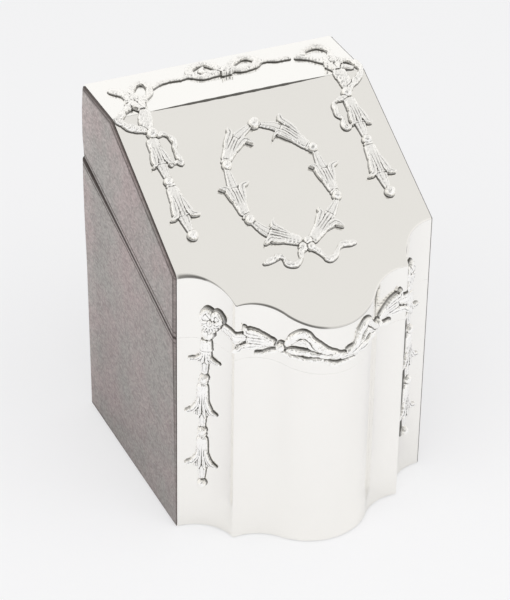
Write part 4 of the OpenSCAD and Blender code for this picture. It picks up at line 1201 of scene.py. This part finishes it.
# Points, width, height and pitch of each strand, then the leaves and the knot
RIGHT_BOW = ((
    (((26.6, 10.6), (28.8, 11.4), (30.8, 13.2), (33.2, 15.6), (35.2, 18.0)), 1.8, 1.3, 4.6),
    (((28.4, 11.2), (29.6, 10.2), (30.6, 8.4), (32.8, 7.0), (35.4, 6.2), (37.8, 7.2), (39.2, 9.6),
      (38.8, 13.2), (37.2, 16.6)), 2.1, 1.5, 5.4),
    (((37.4, 18.6), (39.2, 18.2), (41.4, 18.9), (43.2, 21.0), (43.9, 23.8), (43.9, 25.9), (42.9, 27.7),
      (41.1, 29.3), (38.9, 30.9), (36.6, 32.9)), 2.1, 1.5, 3.6),
    (((37.4, 22.4), (39.6, 23.6), (41.8, 24.9)), 1.8, 1.3, 4.0),
    (((36.2, 23.5), (36.0, 25.8), (36.6, 28.2), (36.8, 30.0), (36.0, 32.2)), 3.9, 1.4, 7.0),
), (
    ((36.7, 16.2), (35.6, 25.0), 5.4), ((36.8, 19.0), (33.2, 21.6), 2.8), ((36.8, 20.0), (39.4, 21.6), 2.6),
), (36.8, 19.5))
LEFT_BOW = ((
    (((-34.8, 17.2), (-35.4, 16.0), (-35.7, 13.0), (-37.0, 10.9), (-38.5, 9.5), (-39.6, 8.0)), 2.5, 1.5, 5.6),
    (((-34.0, 15.8), (-33.4, 12.4), (-31.0, 8.8), (-28.8, 7.6), (-26.9, 8.8), (-26.7, 12.2), (-28.6, 16.0),
      (-31.6, 18.4), (-33.6, 18.6)), 2.1, 1.5, 5.4),
    (((-35.2, 18.5), (-37.4, 21.0), (-40.2, 23.6), (-42.6, 25.6), (-43.4, 26.8), (-42.6, 28.4), (-41.3, 29.9),
      (-39.4, 30.9), (-37.4, 31.8), (-35.6, 33.0)), 2.3, 1.5, 3.6),
    (((-34.2, 23.5), (-34.0, 25.8), (-34.6, 28.0), (-35.0, 30.0), (-34.8, 32.4)), 4.2, 1.4, 7.0),
), (
    ((-34.6, 15.4), (-34.4, 25.0), 5.8), ((-34.6, 18.4), (-38.4, 19.2), 2.6),
    ((-34.4, 18.6), (-31.2, 21.4), 2.8),
), (-34.6, 18.0))


def corner_bow(name, node_name, strands, leaves, knot):
    """Bow on the top with a rope and a band that fall over the crease to the knot of the pendant."""
    bag = Bag()
    for points, w, h, pitch in strands:
        ribbon(bag, points, w, h, pitch, abs(points[0][0]), 0.2)
    for a, b, w in leaves:
        leaf(bag, a, b, w, 1.6, 1.5, tip=0.35, veins=0.35)
    bag.bead(*knot, 1.65, 1.15)
    casting(name, node_name, "lid", bag, to_bend, (-0.5, 0.85), 0.3, 0.05)


wreath()
pendant("left_slope_pendant", "left_pendant", (-34.5, 8.6),
        ((-35.3, 10.2), (-35.3, 20.1), ((-38.9, 21.2), (-31.6, 21.1)), (-35.4, 26.2)), (-35.5, 27.0),
        ((-35.2, 28.8), (-35.1, 40.1), ((-40.1, 41.2), (-29.7, 41.1)), (-34.9, 46.6)), (-34.9, 47.8),
        ((-33.9, 8.8), (-32.8, 9.3), (-31.0, 9.3), (-29.2, 10.9), (-28.4, 13.5), (-29.2, 15.6),
         (-29.2, 18.4), (-28.8, 21.2), (-30.3, 20.5), (-33.0, 21.3)), 2.0)
pendant("right_slope_pendant", "right_pendant", (35.4, 8.3),
        ((35.2, 10.0), (35.4, 20.2), ((31.8, 20.9), (39.3, 21.4)), (35.1, 26.2)), (35.0, 27.2),
        ((35.0, 29.0), (34.9, 40.2), ((29.7, 41.1), (39.9, 41.3)), (34.9, 46.6)), (34.9, 47.8),
        ((34.6, 8.9), (33.7, 9.9), (31.3, 10.2), (29.4, 11.4), (29.2, 13.8), (29.1, 15.8),
         (30.1, 17.6), (29.6, 19.9), (30.1, 21.2), (32.1, 20.9)), 0.8)
front_drop("left_case_drop", "left_front_drop", -1)
front_drop("right_case_drop", "right_front_drop", 1)
rosette("left_lip_rosette", "left_rosette", -1)
rosette("right_lip_rosette", "right_rosette", 1)
festoon()
top_ribbon()
corner_bow("left_top_bow", "left_corner_bow", *LEFT_BOW)
corner_bow("right_top_bow", "right_corner_bow", *RIGHT_BOW)
